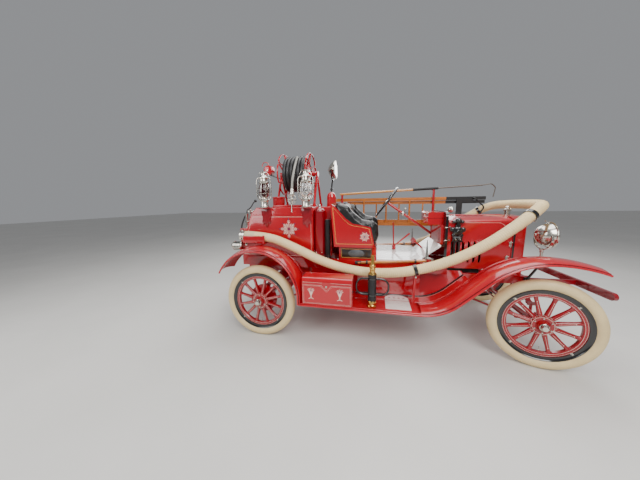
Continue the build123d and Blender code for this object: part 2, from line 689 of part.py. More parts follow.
def toolbox():
    outline = [(-BOX_OUTER, BOARD_TOP + 1), (-BOX_OUTER, BOX_LID_Z), (-BOX_INNER, BOX_LID_Z),
               (-BOX_INNER, BOARD_TOP + 1)]
    box = cross_profile(outline, BOX_REAR, BOX_FRONT)
    box -= block(BOX_REAR + BOX_WALL, BOX_FRONT - BOX_WALL, -BOX_OUTER + BOX_WALL, -BOX_INNER - BOX_WALL,
                 BOARD_TOP + 1 + BOX_WALL, BOX_LID_Z + 1)
    box += block(BOX_REAR, BOX_FRONT, -BOX_INNER - BOX_WALL, -BOX_INNER, BOX_LID_Z - 2, BOX_TOP - 14)
    return box


def toolbox_lid():
    low = BOX_LID_Z + LID_GAP
    back = -BOX_INNER - BOX_WALL - 3
    front = -BOX_OUTER
    face = make_face([Line((front, low), (front, BOX_TOP - LID_NOSE_R - 8)),
                      ThreePointArc((front, BOX_TOP - LID_NOSE_R - 8), (front + 14, BOX_TOP - 16),
                                    (front + LID_NOSE_R + 6, BOX_TOP - 5)),
                      Line((front + LID_NOSE_R + 6, BOX_TOP - 5), (back, BOX_TOP)),
                      Line((back, BOX_TOP), (back, low)), Line((back, low), (front, low))])
    plane = Plane(origin=(BOX_REAR, 0, 0), x_dir=(0, 1, 0), z_dir=(1, 0, 0))
    lid = extrude(plane * face, amount=BOX_FRONT - BOX_REAR)
    hollow = block(BOX_REAR + BOX_WALL, BOX_FRONT - BOX_WALL, front + BOX_WALL, back + 1, low - 1, BOX_TOP - 46)
    hollow += block(BOX_REAR + BOX_WALL, BOX_FRONT - BOX_WALL, front + LID_NOSE_R + 8, back + 1, low - 1,
                    BOX_TOP - 5 - BOX_WALL - 3)
    lid -= hollow
    middle = (BOX_REAR + BOX_FRONT) / 2
    tongue = side_profile([(middle - 42, low + 6), (middle + 42, low + 6), (middle + 42, low - 2),
                           (middle, low - 52), (middle - 42, low - 2)], -BOX_OUTER - 3.5, -BOX_OUTER - 1.0)
    tongue += side_profile([(middle - 42, low + 14), (middle + 42, low + 14), (middle + 42, low + 2),
                            (middle - 42, low + 2)], -BOX_OUTER - 3.5, -BOX_OUTER + 1)
    barrel = rod((BOX_REAR, -BOX_INNER - HINGE_R, BOX_TOP), (BOX_FRONT, -BOX_INNER - HINGE_R, BOX_TOP), HINGE_R)
    return lid + tongue + barrel


def hose_route():
    """Half of the suction hose's centre line, from its rear end on the right to the middle in front."""
    rear = [(HOSE_END_X, HOSE_END_Z), (60, 1053), (340, 947), (680, 786), (1020, 712)]
    front = [(-1160, 0, 716), (-800, 0, 810), (-480, 0, 975), (-210, 10, 1185), (-10, 120, 1330), (132, 350, 1346)]
    return ([(x, -HOSE_Y, z) for x, z in rear]
            + [(WHEELBASE + ahead, -HOSE_Y + inward, z) for ahead, inward, z in front])


def route_path(points):
    """A route's runs joined by arcs as large as the runs allow, and the arcs' radii."""
    radii = []
    for before, corner, after in zip(points, points[1:], points[2:]):
        a, b = Vector(*corner) - Vector(*before), Vector(*after) - Vector(*corner)
        turn = radians(a.get_angle(b))
        radii.append(0.45 * min(a.length, b.length) / tan(turn / 2))
    return FilletPolyline(*points, radius=radii), radii


def hose_points():
    half = hose_route()
    return half + [(x, -y, z) for x, y, z in reversed(half)]


def hose_station(x):
    """The right-hand hose's centre and direction at one station, found by halving the route."""
    path, _ = route_path(hose_points())
    low, high = 0.0, 0.5
    for _ in range(30):
        middle = (low + high) / 2
        if (path @ middle).X < x:
            low = middle
        else:
            high = middle
    return path @ low, path % low


def tube_along(points, radius, name):
    """A tube along a route; the bend radii are printed, because a hose has a tightest bend."""
    path, radii = route_path(points)
    print(name, "bend radii, mm:", [round(r) for r in radii])
    section = Plane(origin=path @ 0, z_dir=path % 0) * Circle(radius)
    return sweep(section, path=path)


def hose_coupling():
    start = (HOSE_END_X - 1, -HOSE_Y, HOSE_END_Z)
    ring = turned([(HOSE_R - 8, 0), (COUPLING_R, 0), (COUPLING_R, 14), (COUPLING_R - 4, 16), (COUPLING_R - 4, 26),
                   (COUPLING_R, 28), (COUPLING_R, COUPLING_LENGTH), (HOSE_BORE_R, COUPLING_LENGTH),
                   (HOSE_BORE_R, 10), (HOSE_R - 8, 10)], start, (-1, 0, 0))
    for number in range(3):
        angle = 2 * pi * number / 3
        ring += block(start[0] - COUPLING_LENGTH + 4, start[0] - COUPLING_LENGTH + 20, start[1] - 7, start[1] + 7,
                      start[2] + COUPLING_R - 4, start[2] + COUPLING_R + 12).rotate(
                          Axis(start, (-1, 0, 0)), degrees(angle))
    return ring


def strap(x):
    """A clamp band around the hose at one station, the station's centre and the room of the hose."""
    centre, direction = hose_station(x)
    band = Solid.make_cylinder(HOSE_R + 5, STRAP_WIDTH, Plane(origin=centre - direction * STRAP_WIDTH / 2, z_dir=direction))
    room = Solid.make_cylinder(HOSE_R + STRAP_GAP, 120, Plane(origin=centre - direction * 60, z_dir=direction))
    return band, centre, room


def hose_supports():
    """The rear trough with its arm to the tank, and the board's post with its band."""
    trough = Solid.make_cylinder(HOSE_R + 6, TROUGH_LENGTH, Plane(origin=(-190, -HOSE_Y, HOSE_END_Z - 1), z_dir=(1, 0, 0)))
    trough -= Solid.make_cylinder(HOSE_R + 1.5, 220, Plane(origin=(-195, -HOSE_Y, HOSE_END_Z - 1), z_dir=(1, 0, 0)))
    trough &= block(-200, 10, -HOSE_Y - 80, -HOSE_Y + 80, 980, 1048)
    foot = REAR_FENDER_Z + REAR_FENDER_R + FENDER_CROWN + 3
    trough += block(-150, -90, -HOSE_Y - 16, -HOSE_Y + 14, foot, 1004)
    trough += block(-150, -90, -HOSE_Y + 10, -TANK_HALF - 1, foot + 2, foot + 20)
    band, centre, room = strap(POST_X)
    post = rod((POST_X - 10, -HOSE_Y + 10, BOARD_TOP + 1), (POST_X, -HOSE_Y, centre.Z - HOSE_R - 2.5), POST_R)
    post += rod((POST_X - 10, -HOSE_Y + 10, BOARD_TOP + 1), (POST_X - 10, -HOSE_Y + 10, BOARD_TOP + 9), 24)
    return trough, (post + band) - room, radiator_bracket()


def radiator_bracket():
    """The band that carries the hose in front, on a strut from the radiator's side."""
    band, centre, room = strap(BRACKET_X)
    side = -HOOD_HALF_FRONT + 1.5
    foot = (HOOD_FRONT + 52, side - 6, 1118)
    strut = rod(foot, (BRACKET_X, centre.Y + 10, centre.Z - HOSE_R - 3), 10)
    strut += block(foot[0] - 26, foot[0] + 26, side - 10, side - 0.5, foot[2] - 24, foot[2] + 24)
    return (band + strut) - room


def engine():
    """The closed-in engine as one plain block, with the starting crank that comes out in front."""
    motor = block(ENGINE_REAR, ENGINE_FRONT, -ENGINE_HALF, ENGINE_HALF, ENGINE_LOW, ENGINE_TOP)
    crank_x = RADIATOR_FRONT + 70
    motor += rod((ENGINE_FRONT - 1, 0, CRANK_Z), (crank_x, 0, CRANK_Z), 9)
    motor += rod((crank_x - 9, 0, CRANK_Z), (crank_x - 9, 0, CRANK_Z - 140), 9)
    motor += rod((crank_x - 18, 0, CRANK_Z - 140), (crank_x + 90, 0, CRANK_Z - 140), 11)
    return motor


def exhaust():
    port = ENGINE_REAR + 92
    route = [(port, ENGINE_HALF + 1, 800), (port, EXHAUST_Y, 800), (port, EXHAUST_Y, 560),
             (port - 280, EXHAUST_Y, EXHAUST_Z), (1150, EXHAUST_Y, EXHAUST_Z)]
    line = pipe(route, [34, 60, 140], 19)
    line += rod((680, EXHAUST_Y, EXHAUST_Z), (1160, EXHAUST_Y, EXHAUST_Z), MUFFLER_R)
    line += rod((300, EXHAUST_Y, EXHAUST_Z), (690, EXHAUST_Y, EXHAUST_Z), 16)
    return line


def radiator_outline(inset):
    """The radiator's front outline as (y, z) points: a box with its shoulders cut."""
    half, top, shoulder = HOOD_HALF_FRONT - 2 - inset, RADIATOR_TOP - inset, 70
    return [(half, RADIATOR_LOW + inset), (half, top - shoulder), (half - 26, top - 26), (half - shoulder - 20, top - 6),
            (0, top + 4), (-half + shoulder + 20, top - 6), (-half + 26, top - 26), (-half, top - shoulder),
            (-half, RADIATOR_LOW + inset)]


def radiator():
    shell = cross_profile(radiator_outline(0), HOOD_FRONT + 6, RADIATOR_FRONT)
    window = block(RADIATOR_FRONT - RADIATOR_RECESS, RADIATOR_FRONT + 1, -HOOD_HALF_FRONT + RADIATOR_RIM,
                   HOOD_HALF_FRONT - RADIATOR_RIM, RADIATOR_LOW + RADIATOR_RIM, RADIATOR_TOP - 120)
    shell -= window
    middle = (HOOD_FRONT + RADIATOR_FRONT) / 2 + 3
    shell += rod((middle, 0, RADIATOR_TOP - 20), (middle, 0, CAP_TOP - 45), CAP_NECK_R)
    shell += turned([(0, 0), (CAP_NECK_R + 7, 0), (CAP_NECK_R + 7, 12), (14, 22), (14, 32), (19, 38), (10, 45), (0, 45)],
                    (middle, 0, CAP_TOP - 45), (0, 0, 1))
    shell += block(middle - 6, middle + 6, -62, 62, CAP_TOP - 34, CAP_TOP - 24)
    return shell


def hood_section(x, half, inset):
    """The hood's cross-section at one station, smaller by inset, open below the sills."""
    low = HOOD_LOW - (1 if inset else 0)
    side, corner = half - inset, HOOD_CORNER
    shoulder, top = HOOD_SHOULDER - inset, HOOD_TOP - inset
    turn = corner * (1 - cos(radians(45)))
    plane = Plane(origin=(x, 0, 0), x_dir=(0, 1, 0), z_dir=(1, 0, 0))
    edges = [Line((-side, low), (-side, shoulder - corner)),
             ThreePointArc((-side, shoulder - corner), (-side + turn, shoulder - turn), (-side + corner, shoulder)),
             ThreePointArc((-side + corner, shoulder), (0, top), (side - corner, shoulder)),
             ThreePointArc((side - corner, shoulder), (side - turn, shoulder - turn), (side, shoulder - corner)),
             Line((side, shoulder - corner), (side, low)), Line((side, low), (-side, low))]
    return plane * make_face(edges)


def hood():
    outer = loft([hood_section(HOOD_REAR, HOOD_HALF_REAR, 0), hood_section(HOOD_FRONT, HOOD_HALF_FRONT, 0)])
    inner = loft([hood_section(HOOD_REAR - 1, HOOD_HALF_REAR, HOOD_WALL),
                  hood_section(HOOD_FRONT + 1, HOOD_HALF_FRONT, HOOD_WALL)])
    shell = outer - inner
    for number in range(LOUVRES):
        x = LOUVRE_FIRST + number * LOUVRE_PITCH
        shell -= block(x - LOUVRE_WIDTH / 2, x + LOUVRE_WIDTH / 2, -HOOD_HALF_REAR - 5, -HOOD_HALF_FRONT + 20,
                       LOUVRE_LOW, LOUVRE_TOP)
        shell -= block(x - LOUVRE_WIDTH / 2, x + LOUVRE_WIDTH / 2, HOOD_HALF_FRONT - 20, HOOD_HALF_REAR + 5,
                       LOUVRE_LOW, LOUVRE_TOP)
    return shell


def firewall():
    half, top, r = DASH_HALF, DASH_TOP, DASH_CORNER_R
    plane = Plane(origin=(DASH_X, 0, 0), x_dir=(0, 1, 0), z_dir=(1, 0, 0))
    turn = r * (1 - cos(radians(45)))
    face = make_face([Line((-half, DASH_LOW), (-half, top - r)),
                      ThreePointArc((-half, top - r), (-half + turn, top - turn), (-half + r, top)),
                      Line((-half + r, top), (half - r, top)),
                      ThreePointArc((half - r, top), (half - turn, top - turn), (half, top - r)),
                      Line((half, top - r), (half, DASH_LOW)), Line((half, DASH_LOW), (-half, DASH_LOW))])
    board = extrude(plane * face, amount=DASH_T)
    hole = column_point((DASH_X + DASH_T / 2 - COLUMN_HUB_X) / cos(radians(COLUMN_SLOPE)))
    board -= rod(tuple(Vector(*hole) - Vector(*column_axis()) * 60), tuple(Vector(*hole) + Vector(*column_axis()) * 60),
                 COLUMN_R + 1)
    return board


def coil_box():
    front = DASH_X - 1
    box = block(front - COIL_BOX_DEPTH, front, -COIL_BOX_HALF, COIL_BOX_HALF - 60, COIL_BOX_LOW, DASH_TOP - 6)
    box = fillet(box.edges().filter_by(Axis.Y).group_by(Axis.Z)[-1].sort_by(Axis.X)[0], 26)
    box += block(front - 30, front, -COIL_BOX_HALF - 40, COIL_BOX_HALF - 60, TOE_TOP_Z, COIL_BOX_LOW + 1)
    for number in range(3):
        y = -COIL_BOX_HALF + 50 + 60 * number
        box += rod((front - COIL_BOX_DEPTH - 16, y, COIL_BOX_LOW + 70), (front - COIL_BOX_DEPTH + 1, y, COIL_BOX_LOW + 70), 11)
    return box


def floor_boards():
    low = SILL_TOP - 1
    floor = block(FLOOR_REAR, FLOOR_FRONT, -SILL_HALF + SILL_T, SILL_HALF - SILL_T, low, low + FLOOR_T)
    toe = [(FLOOR_FRONT - 1, low), (FLOOR_FRONT - 1, low + FLOOR_T), (DASH_X - 32, TOE_TOP_Z - 2),
           (DASH_X - 32, TOE_TOP_Z - 18)]
    floor += side_profile(toe, -DASH_HALF, DASH_HALF)
    axis = Vector(*column_axis())
    hole = Vector(*column_point((FLOOR_FRONT + 100 - COLUMN_HUB_X) / cos(radians(COLUMN_SLOPE))))
    return floor - rod(tuple(hole - axis * 200), tuple(hole + axis * 200), COLUMN_R + 2)


def body_sill():
    sill = block(TANK_REAR_X, DASH_X - 1, -SILL_HALF, -SILL_HALF + SILL_T, SILL_LOW, SILL_TOP)
    for x in (0.0, 600.0, RISER_FRONT - 2, DASH_X - 90):
        sill += block(x - 25, x + 25, -SILL_HALF + SILL_T - 1, -RAIL_OUTSIDE + RAIL_FLANGE, RAIL_TOP + 1, RAIL_TOP + 14)
        sill += block(x - 25, x + 25, -SILL_HALF + SILL_T - 1, -SILL_HALF + SILL_T + 12, RAIL_TOP + 1, SILL_LOW + 30)
    return sill


def seat_riser():
    half = RISER_HALF
    outer = block(RISER_REAR, RISER_FRONT, -half, half, SILL_TOP + 1, RISER_TOP)
    return outer - block(RISER_REAR + PANEL_T, RISER_FRONT - PANEL_T, -half + PANEL_T, half - PANEL_T,
                         SILL_TOP, RISER_TOP + 1)


SEAT_SIDE = [(744, 943), (1164, 943), (1122, 1140), (1028, 1161), (938, 1177), (866, 1232), (801, 1304),
             (747, 1359), (706, 1387)]


def seat_shell():
    outline = side_profile(SEAT_SIDE, -SEAT_HALF, -SEAT_HALF + SEAT_WALL)
    shell = outline + mirrored(outline)
    shell += side_profile([(744, 943), (760, 943), (722, 1387), (706, 1387)], -SEAT_HALF, SEAT_HALF)
    shell += block(744, 1164, -SEAT_HALF, SEAT_HALF, RISER_TOP + 1, SEAT_LOW + 3)
    return shell


def seat_upholstery():
    half = SEAT_HALF - SEAT_WALL - 1
    arm = side_profile([(770, 960), (1214, 960), (1234, 1042), (1232, 1176), (1172, 1228), (1051, 1252), (942, 1345),
                        (888, 1398), (735, 1402)], -half, -half + ARM_PAD)
    arm -= block(1166, 1300, -SEAT_HALF, SEAT_HALF, 900, 940)
    pad = arm + mirrored(arm)
    pad += side_profile([(768, 950), (850, 950), (830, 1120), (790, 1398), (730, 1398)], -half, half)
    pad += block(765, 1215, -half, half, SEAT_LOW + 5, CUSHION_TOP)
    return pad


# The tank's side outline, x and z: a low deck behind, a sloping back, a flat top
TANK_SIDE = [(-371, 800), (-371, TANK_DECK), (-285, TANK_DECK), (-217, 1277), (-150, TANK_TOP),
             (TANK_FRONT, TANK_TOP), (TANK_FRONT, 800), (420, TANK_LOW), (-250, TANK_LOW)]


def tank_body():
    body = side_profile(TANK_SIDE, -TANK_HALF, TANK_HALF)
    body += block(TANK_FRONT - 1, TANK_NOSE, -TANK_NOSE_HALF, TANK_NOSE_HALF, SILL_TOP + 1, TANK_TOP)
    body += block(46, 385, -TANK_HALF + 20, TANK_HALF - 20, TANK_TOP - 1, TANK_TOP + HATCH_RISE)
    for x in LANTERNS_X:
        body += lantern_bracket(x)
    return body


def air_chamber():
    """A domed pressure cylinder in the corner in front of the tank, with a riser pipe beside it."""
    profile = [(0, 0), (34, 0), (AIR_R - 6, 14), (AIR_R, 34), (AIR_R, AIR_HEIGHT - 38), (AIR_R - 6, AIR_HEIGHT - 16),
               (34, AIR_HEIGHT), (0, AIR_HEIGHT)]
    chamber = turned(profile, (AIR_X, -TANK_HALF + AIR_R + 2, SILL_TOP + 1), (0, 0, 1))
    pipe_y = -TANK_HALF + RISER_PIPE_R + 4
    riser = rod((RISER_PIPE_X, pipe_y, SILL_TOP + 1), (RISER_PIPE_X, pipe_y, SILL_TOP + 425), RISER_PIPE_R)
    riser += rod((RISER_PIPE_X, pipe_y, SILL_TOP + 400), (RISER_PIPE_X, -TANK_NOSE_HALF - 0.5, SILL_TOP + 400), 12)
    return Compound(children=[chamber, riser])


def dome():
    profile = [(0, 0), (DOME_R, 0), (DOME_R, 110), (DOME_R - 12, 148), (18, 168), (0, 170)]
    return turned(profile, (DOME_X, 0, TANK_TOP + 0.5), (0, 0, 1))


def strainer():
    """The suction strainer, hung on an arm from the tank under the hose's end."""
    x, z = HOSE_END_X - 105, 940
    basket = turned([(0, 0), (30, 0), (46, 10), (50, 24), (50, 104), (42, 112), (34, 130), (0, 134)],
                    (x + 68, -HOSE_Y, z), (-1, 0, 0))
    return basket + rod((x, -TANK_HALF - 0.5, z), (x, -HOSE_Y, z), 11)


def rear_fittings():
    parts_list = []
    valve = rod((-318, -260, TANK_DECK + 0.5), (-318, -260, 1250), 20)
    valve += rod((-318, -260, 1248), (-318, -260, 1330), 13)
    valve += rod((-362, -260, 1300), (-274, -260, 1300), 9)
    parts_list.append(valve)
    gauge = rod((-322, 180, TANK_DECK + 0.5), (-322, 180, 1230), 18)
    gauge += rod((-322, 160, 1240), (-322, 200, 1240), 44)
    parts_list.append(gauge)
    outlet = rod((-371.5, 0, 960), (-384, 0, 960), 52)
    parts_list.append(outlet)
    parts_list.append(strainer())
    return Compound(children=[s for p in parts_list for s in p.solids()])


def play_pipe():
    base = (PIPE_X, -PIPE_Y, BOARD_TOP + 1)
    body = turned([(0, 0), (30, 0), (30, 20), (22, 30), (22, 70), (26, 74), (26, 300), (20, 316), (22, 330),
                   (22, 352), (15, 370), (17, 376), (17, 392), (12, 400), (9, PIPE_LENGTH), (0, PIPE_LENGTH)], base, (0, 0, 1))
    body += rod((PIPE_X - 95, -PIPE_Y, BOARD_TOP + 120), (PIPE_X + 95, -PIPE_Y, BOARD_TOP + 120), 6)
    return body


def headlamp():
    x, y, z = HEADLAMP
    lamp = turned([(0, 0), (30, 4), (70, 34), (98, 80), (106, 120), (114, 122), (114, 140), (104, 146), (0, 150)],
                  (x - 90, y, z), (1, 0, 0))
    foot_z = RAIL_TOP - 25
    lamp += rod((x - 20, y, z - 100), (x - 20, y, 800), 11)
    lamp += rod((x - 20, y, 808), (WHEELBASE + 20, -RAIL_OUTSIDE - 18, foot_z), 10)
    lamp += block(WHEELBASE, WHEELBASE + 42, -RAIL_OUTSIDE - 30, -RAIL_OUTSIDE - 0.5, foot_z - 22, foot_z + 20)
    return lamp


def ladder_section(y, half, rear, low, top, depth, rung):
    """Two rails on edge with rungs between them, the rungs only along the wooden part."""
    section = block(rear, LADDER_FRONT, y - half, y + half, low, low + depth)
    section += block(rear, LADDER_FRONT, y - half, y + half, top - depth, top)
    for number in range(int((LADDER_WOOD_END - rear - 120) // LADDER_PITCH) + 1):
        x = rear + 100 + number * LADDER_PITCH
        section += rod((x, y, low + depth - 5), (x, y, top - depth + 5), rung)
    return section


def ladder():
    """Two nested sections on edge, the second beside the first."""
    first = ladder_section(LADDER_Y, 11, LADDER_REAR, LADDER_LOW - LADDER_RAIL, LADDER_TOP, LADDER_RAIL, 11)
    second = ladder_section(LADDER_Y + 25, 10, LADDER_REAR + 170, LADDER_LOW - LADDER_RAIL + 40, LADDER_TOP - 46,
                            LADDER_RAIL - 4, 9)
    hook_x, top = LADDER_FRONT - 140, LADDER_TOP - LADDER_RAIL / 2
    first += pipe([(hook_x, LADDER_Y - 10, top), (hook_x, LADDER_Y - 62, top), (hook_x + 110, LADDER_Y - 62, top - 110),
                   (hook_x + 60, LADDER_Y - 62, top - 200)], [14, 30], 8)
    first += block(LADDER_FRONT - 275, LADDER_FRONT - 145, LADDER_Y - 24, LADDER_Y - 9, LADDER_TOP - 76, LADDER_TOP - 30)
    first += block(LADDER_FRONT - 330, LADDER_FRONT - 264, LADDER_Y - 24, LADDER_Y - 9, LADDER_LOW - 20, LADDER_TOP - 30)
    return Compound(children=list(first.solids()) + list(second.solids()))


def pike_pole():
    front = LADDER_FRONT
    start, wood_end, sleeve_end = (660, PIKE_Y, 1502), (front - 850, PIKE_Y, 1545), (front - 540, PIKE_Y, 1558)
    tip = (front - 30, PIKE_Y, 1580)
    pole = rod(start, wood_end, 15)
    pole += rod(wood_end, sleeve_end, 17)
    pole += rod(sleeve_end, tip, 8)
    hook = pipe([(front - 40, PIKE_Y, 1579.5), (front + 70, PIKE_Y, 1596), (front + 116, PIKE_Y, 1550),
                 (front + 98, PIKE_Y, 1430)], [40, 30], 6)
    return pole + hook


def ladder_stands():
    """Posts on the left sill that carry the ladder and the pike pole."""
    y = LADDER_Y - 11 - LADDER_STAND_R - 1
    posts = []
    for x, top in LADDER_STANDS:
        post = rod((x, y, SILL_TOP - 60), (x, y, top), LADDER_STAND_R)
        post += block(x - 12, x + 12, y, PIKE_Y, top - 10, top)
        post += block(x - 16, x + 16, y, LADDER_Y + 38, LADDER_LOW - LADDER_RAIL - 9, LADDER_LOW - LADDER_RAIL - 1)
        post += block(x - 20, x + 20, SILL_HALF + 1, y, SILL_TOP - 60, SILL_TOP - 46)
        posts.append(post)
    return posts


def fire_axe():
    """An axe laid along the sill, with the two clips that carry its handle."""
    rear, front = RAMP_START - 572, RAMP_START + 68

    def handle_z(x):
        return AXE_Z + (x - rear) / (front - rear) * 46

    axe = rod((rear, -AXE_Y, AXE_Z), (front, -AXE_Y, handle_z(front)), AXE_HANDLE_R)
    head = [(0, 800), (60, 806), (66, 850), (28, 862), (24, 975), (12, 1030), (0, 975), (0, 862)]
    axe += side_profile([(front + dx, z) for dx, z in head], -AXE_Y - 13, -AXE_Y + 13)
    for x in (rear + 90, front - 90):
        z = handle_z(x)
        axe += block(x - 10, x + 10, -AXE_Y + 4, -SILL_HALF - 0.5, z - 6, z + 6)
    return axe


def lantern(x):
    """A hand lantern: tank, globe, hood and chimney, with the tubes of its frame beside them."""
    y = -LANTERN_Y
    base = LANTERN_BASE
    body = turned([(0, 0), (50, 0), (52, 9), (40, 20), (40, 62), (46, 74), (46, 84), (34, 94), (32, 110), (46, 138),
                   (52, 166), (50, 196), (40, 236), (38, 250), (54, 258), (56, 270), (42, 282), (40, 300), (52, 310),
                   (48, 322), (28, 344), (28, 362), (34, 366), (14, 384), (0, 386)], (x, y, base), (0, 0, 1))
    for side in (-1, 1):
        body += pipe([(x + side * 38, y, base + 80), (x + side * 82, y, base + 92), (x + side * 82, y, base + 302),
                      (x + side * 38, y, base + 316)], [18, 18], 5.5)
    return body


def lantern_bracket(x):
    arm = block(x - 55, x + 55, -LANTERN_Y - 40, -TANK_HALF + 1, LANTERN_BASE - 14, LANTERN_BASE - 1)
    arm += side_profile([(x - 58, LANTERN_BASE - 2), (x + 58, LANTERN_BASE - 2), (x + 50, 1160), (x + 10, 1128), (x - 50, 1150)],
                        -TANK_HALF - 14, -TANK_HALF + 1)
    return arm


def reel_petal(x, flare, angle):
    """One bar of a reel flange, bent into a loop: out from the hub, round at the rim and back."""
    points = []
    for radius, turn, lean in ((PETAL_FOOT_R, -0.16, 0.0), (150, -0.40, 0.45), (REEL_FLANGE_R - REEL_BAR, -0.30, 1.0),
                               (REEL_FLANGE_R - REEL_BAR, 0.30, 1.0), (150, 0.40, 0.45), (PETAL_FOOT_R, 0.16, 0.0)):
        points.append((x + flare * REEL_FLARE * lean, radius * cos(angle + turn), REEL_Z + radius * sin(angle + turn)))
    return pipe(points, [60, 45, 45, 60], REEL_BAR)


def reel_spool():
    drum = rod((REEL_REAR - 6, 0, REEL_Z), (REEL_FRONT + 6, 0, REEL_Z), REEL_DRUM_R)
    drum += rod((STAND_REAR + 20, 0, REEL_Z), (STAND_FRONT - 20, 0, REEL_Z), REEL_AXLE_R + 12)
    for x, flare in ((REEL_REAR - PETAL_OUT, -1), (REEL_FRONT + PETAL_OUT, 1)):
        drum += rod((x - PETAL_OUT + 3, 0, REEL_Z), (x + PETAL_OUT - 3, 0, REEL_Z), PETAL_FOOT_R + 22)
        for number in range(REEL_PETALS):
            drum += reel_petal(x, flare, 2 * pi * number / REEL_PETALS)
    drum -= rod((STAND_REAR, 0, REEL_Z), (STAND_FRONT, 0, REEL_Z), REEL_AXLE_R + RUNNING_GAP)
    return drum


def reel_hose():
    coil = rod((REEL_REAR, 0, REEL_Z), (REEL_FRONT, 0, REEL_Z), REEL_R)
    return coil - rod((REEL_REAR - 1, 0, REEL_Z), (REEL_FRONT + 1, 0, REEL_Z), REEL_DRUM_R + 0.2)


def reel_stand():
    stand = rod((STAND_REAR - 10, 0, REEL_Z), (STAND_FRONT + 10, 0, REEL_Z), REEL_AXLE_R)
    for x in (STAND_REAR, STAND_FRONT):
        stand += rod((x - 12, 0, REEL_Z), (x + 12, 0, REEL_Z), 34)
        for side in (-1, 1):
            foot = (x, side * STAND_SPREAD, TANK_TOP + 30)
            stand += rod((x, 0, REEL_Z), foot, STAND_TUBE_R)
            stand += rod((x, side * STAND_SPREAD, TANK_TOP + 1), (x, side * STAND_SPREAD, TANK_TOP + 34), 20)
    return stand


# The lead's route from the side of the coil down to the nozzle, which hangs by the tank
LEAD_ROUTE = [(262, -145, 1920), (272, -246, 1838), (286, -345, 1748), (295, -TANK_HALF + 8, 1660),
              (297, -TANK_HALF - 22, 1600), (297, -TANK_HALF - 30, 1536)]
NOZZLE_AXIS = (0, -8 / 64.5, -64 / 64.5)


def reel_lead():
    return tube_along(LEAD_ROUTE, LEAD_R, "reel lead")


def reel_nozzle():
    """The nozzle on the lead's end, with its ring handle."""
    top = LEAD_ROUTE[-1]
    nozzle = turned([(0, 0), (17, 0), (22, 30), (22, 60), (12, 90), (14, 130), (8, 150), (7, 240), (0, 240)],
                    top, NOZZLE_AXIS)
    ring_at = Vector(*top) + Vector(*NOZZLE_AXIS) * 104
    return nozzle + Plane(origin=ring_at, z_dir=(0, 1, -0.12)) * Torus(46, 5)


def top_lamps():
    search = turned([(0, 0), (40, 10), (84, 50), (96, 84), (102, 86), (102, 100), (0, 108)], (560, 200, 1800), (1, 0, 0))
    search += rod((600, 200, 1800), (600, 200, 1660), 10)
    search += rod((600, 200, 1670), (STAND_FRONT + 12, 60, 1640), 10)
    bell = turned([(0, 0), (60, 0), (66, 70), (60, 84), (0, 90)], (-190, 0, 1810), (0, 1, 0))
    bell += rod((-190, 45, 1760), (-18, 22, 1700), 9)
    ball = Pos(DASH_X + 187, 250, DASH_TOP + 2) * Sphere(35)
    ball += rod((DASH_X + DASH_T + 0.5, 250, DASH_TOP - 20), (DASH_X + 187, 250, DASH_TOP - 12), 8)
    return search, bell, ball


def hand_levers():
    base, z = DASH_X - 458, SILL_TOP + FLOOR_T
    lever = rod((base, 130, z), (base, 130, z + 50), 22)
    lever += rod((base, 130, z + 40), (base + 178, 130, 1010), 9)
    brake = rod((base + 8, 300, z), (base + 8, 300, z + 30), 16)
    brake += rod((base + 8, 300, z + 20), (base - 6, 300, 1130), 8)
    pedals = []
    for y in (200, 120, 40):
        stem = rod((DASH_X - 151, y, 858), (DASH_X - 240, y, 930), 7)
        stem += rod((DASH_X - 234, y, 925), (DASH_X - 244, y, 934), 26)
        pedals.append(stem)
    return [lever, brake] + pedals


def side_valve():
    x, y = HOOD_REAR + 85, -HOOD_HALF_REAR - 1
    valve = rod((x, y, 1095), (x, y - 34, 1095), 46)
    for number in range(5):
        angle = radians(90 + 72 * number)
        valve += rod((x + 50 * cos(angle), y - 6, 1095 + 50 * sin(angle)), (x + 50 * cos(angle), y - 28, 1095 + 50 * sin(angle)), 24)
    valve += block(x - 45, x + 45, y - 28, y - 4, 985, 1040)
    valve += rod((x, y - 14, 1130), (x, y - 14, 1215), 18)
    for dx in (-34, 0, 34):
        valve += rod((x + dx, y - 14, 1196), (x + dx, y - 14, 1224), 20)
    return valve


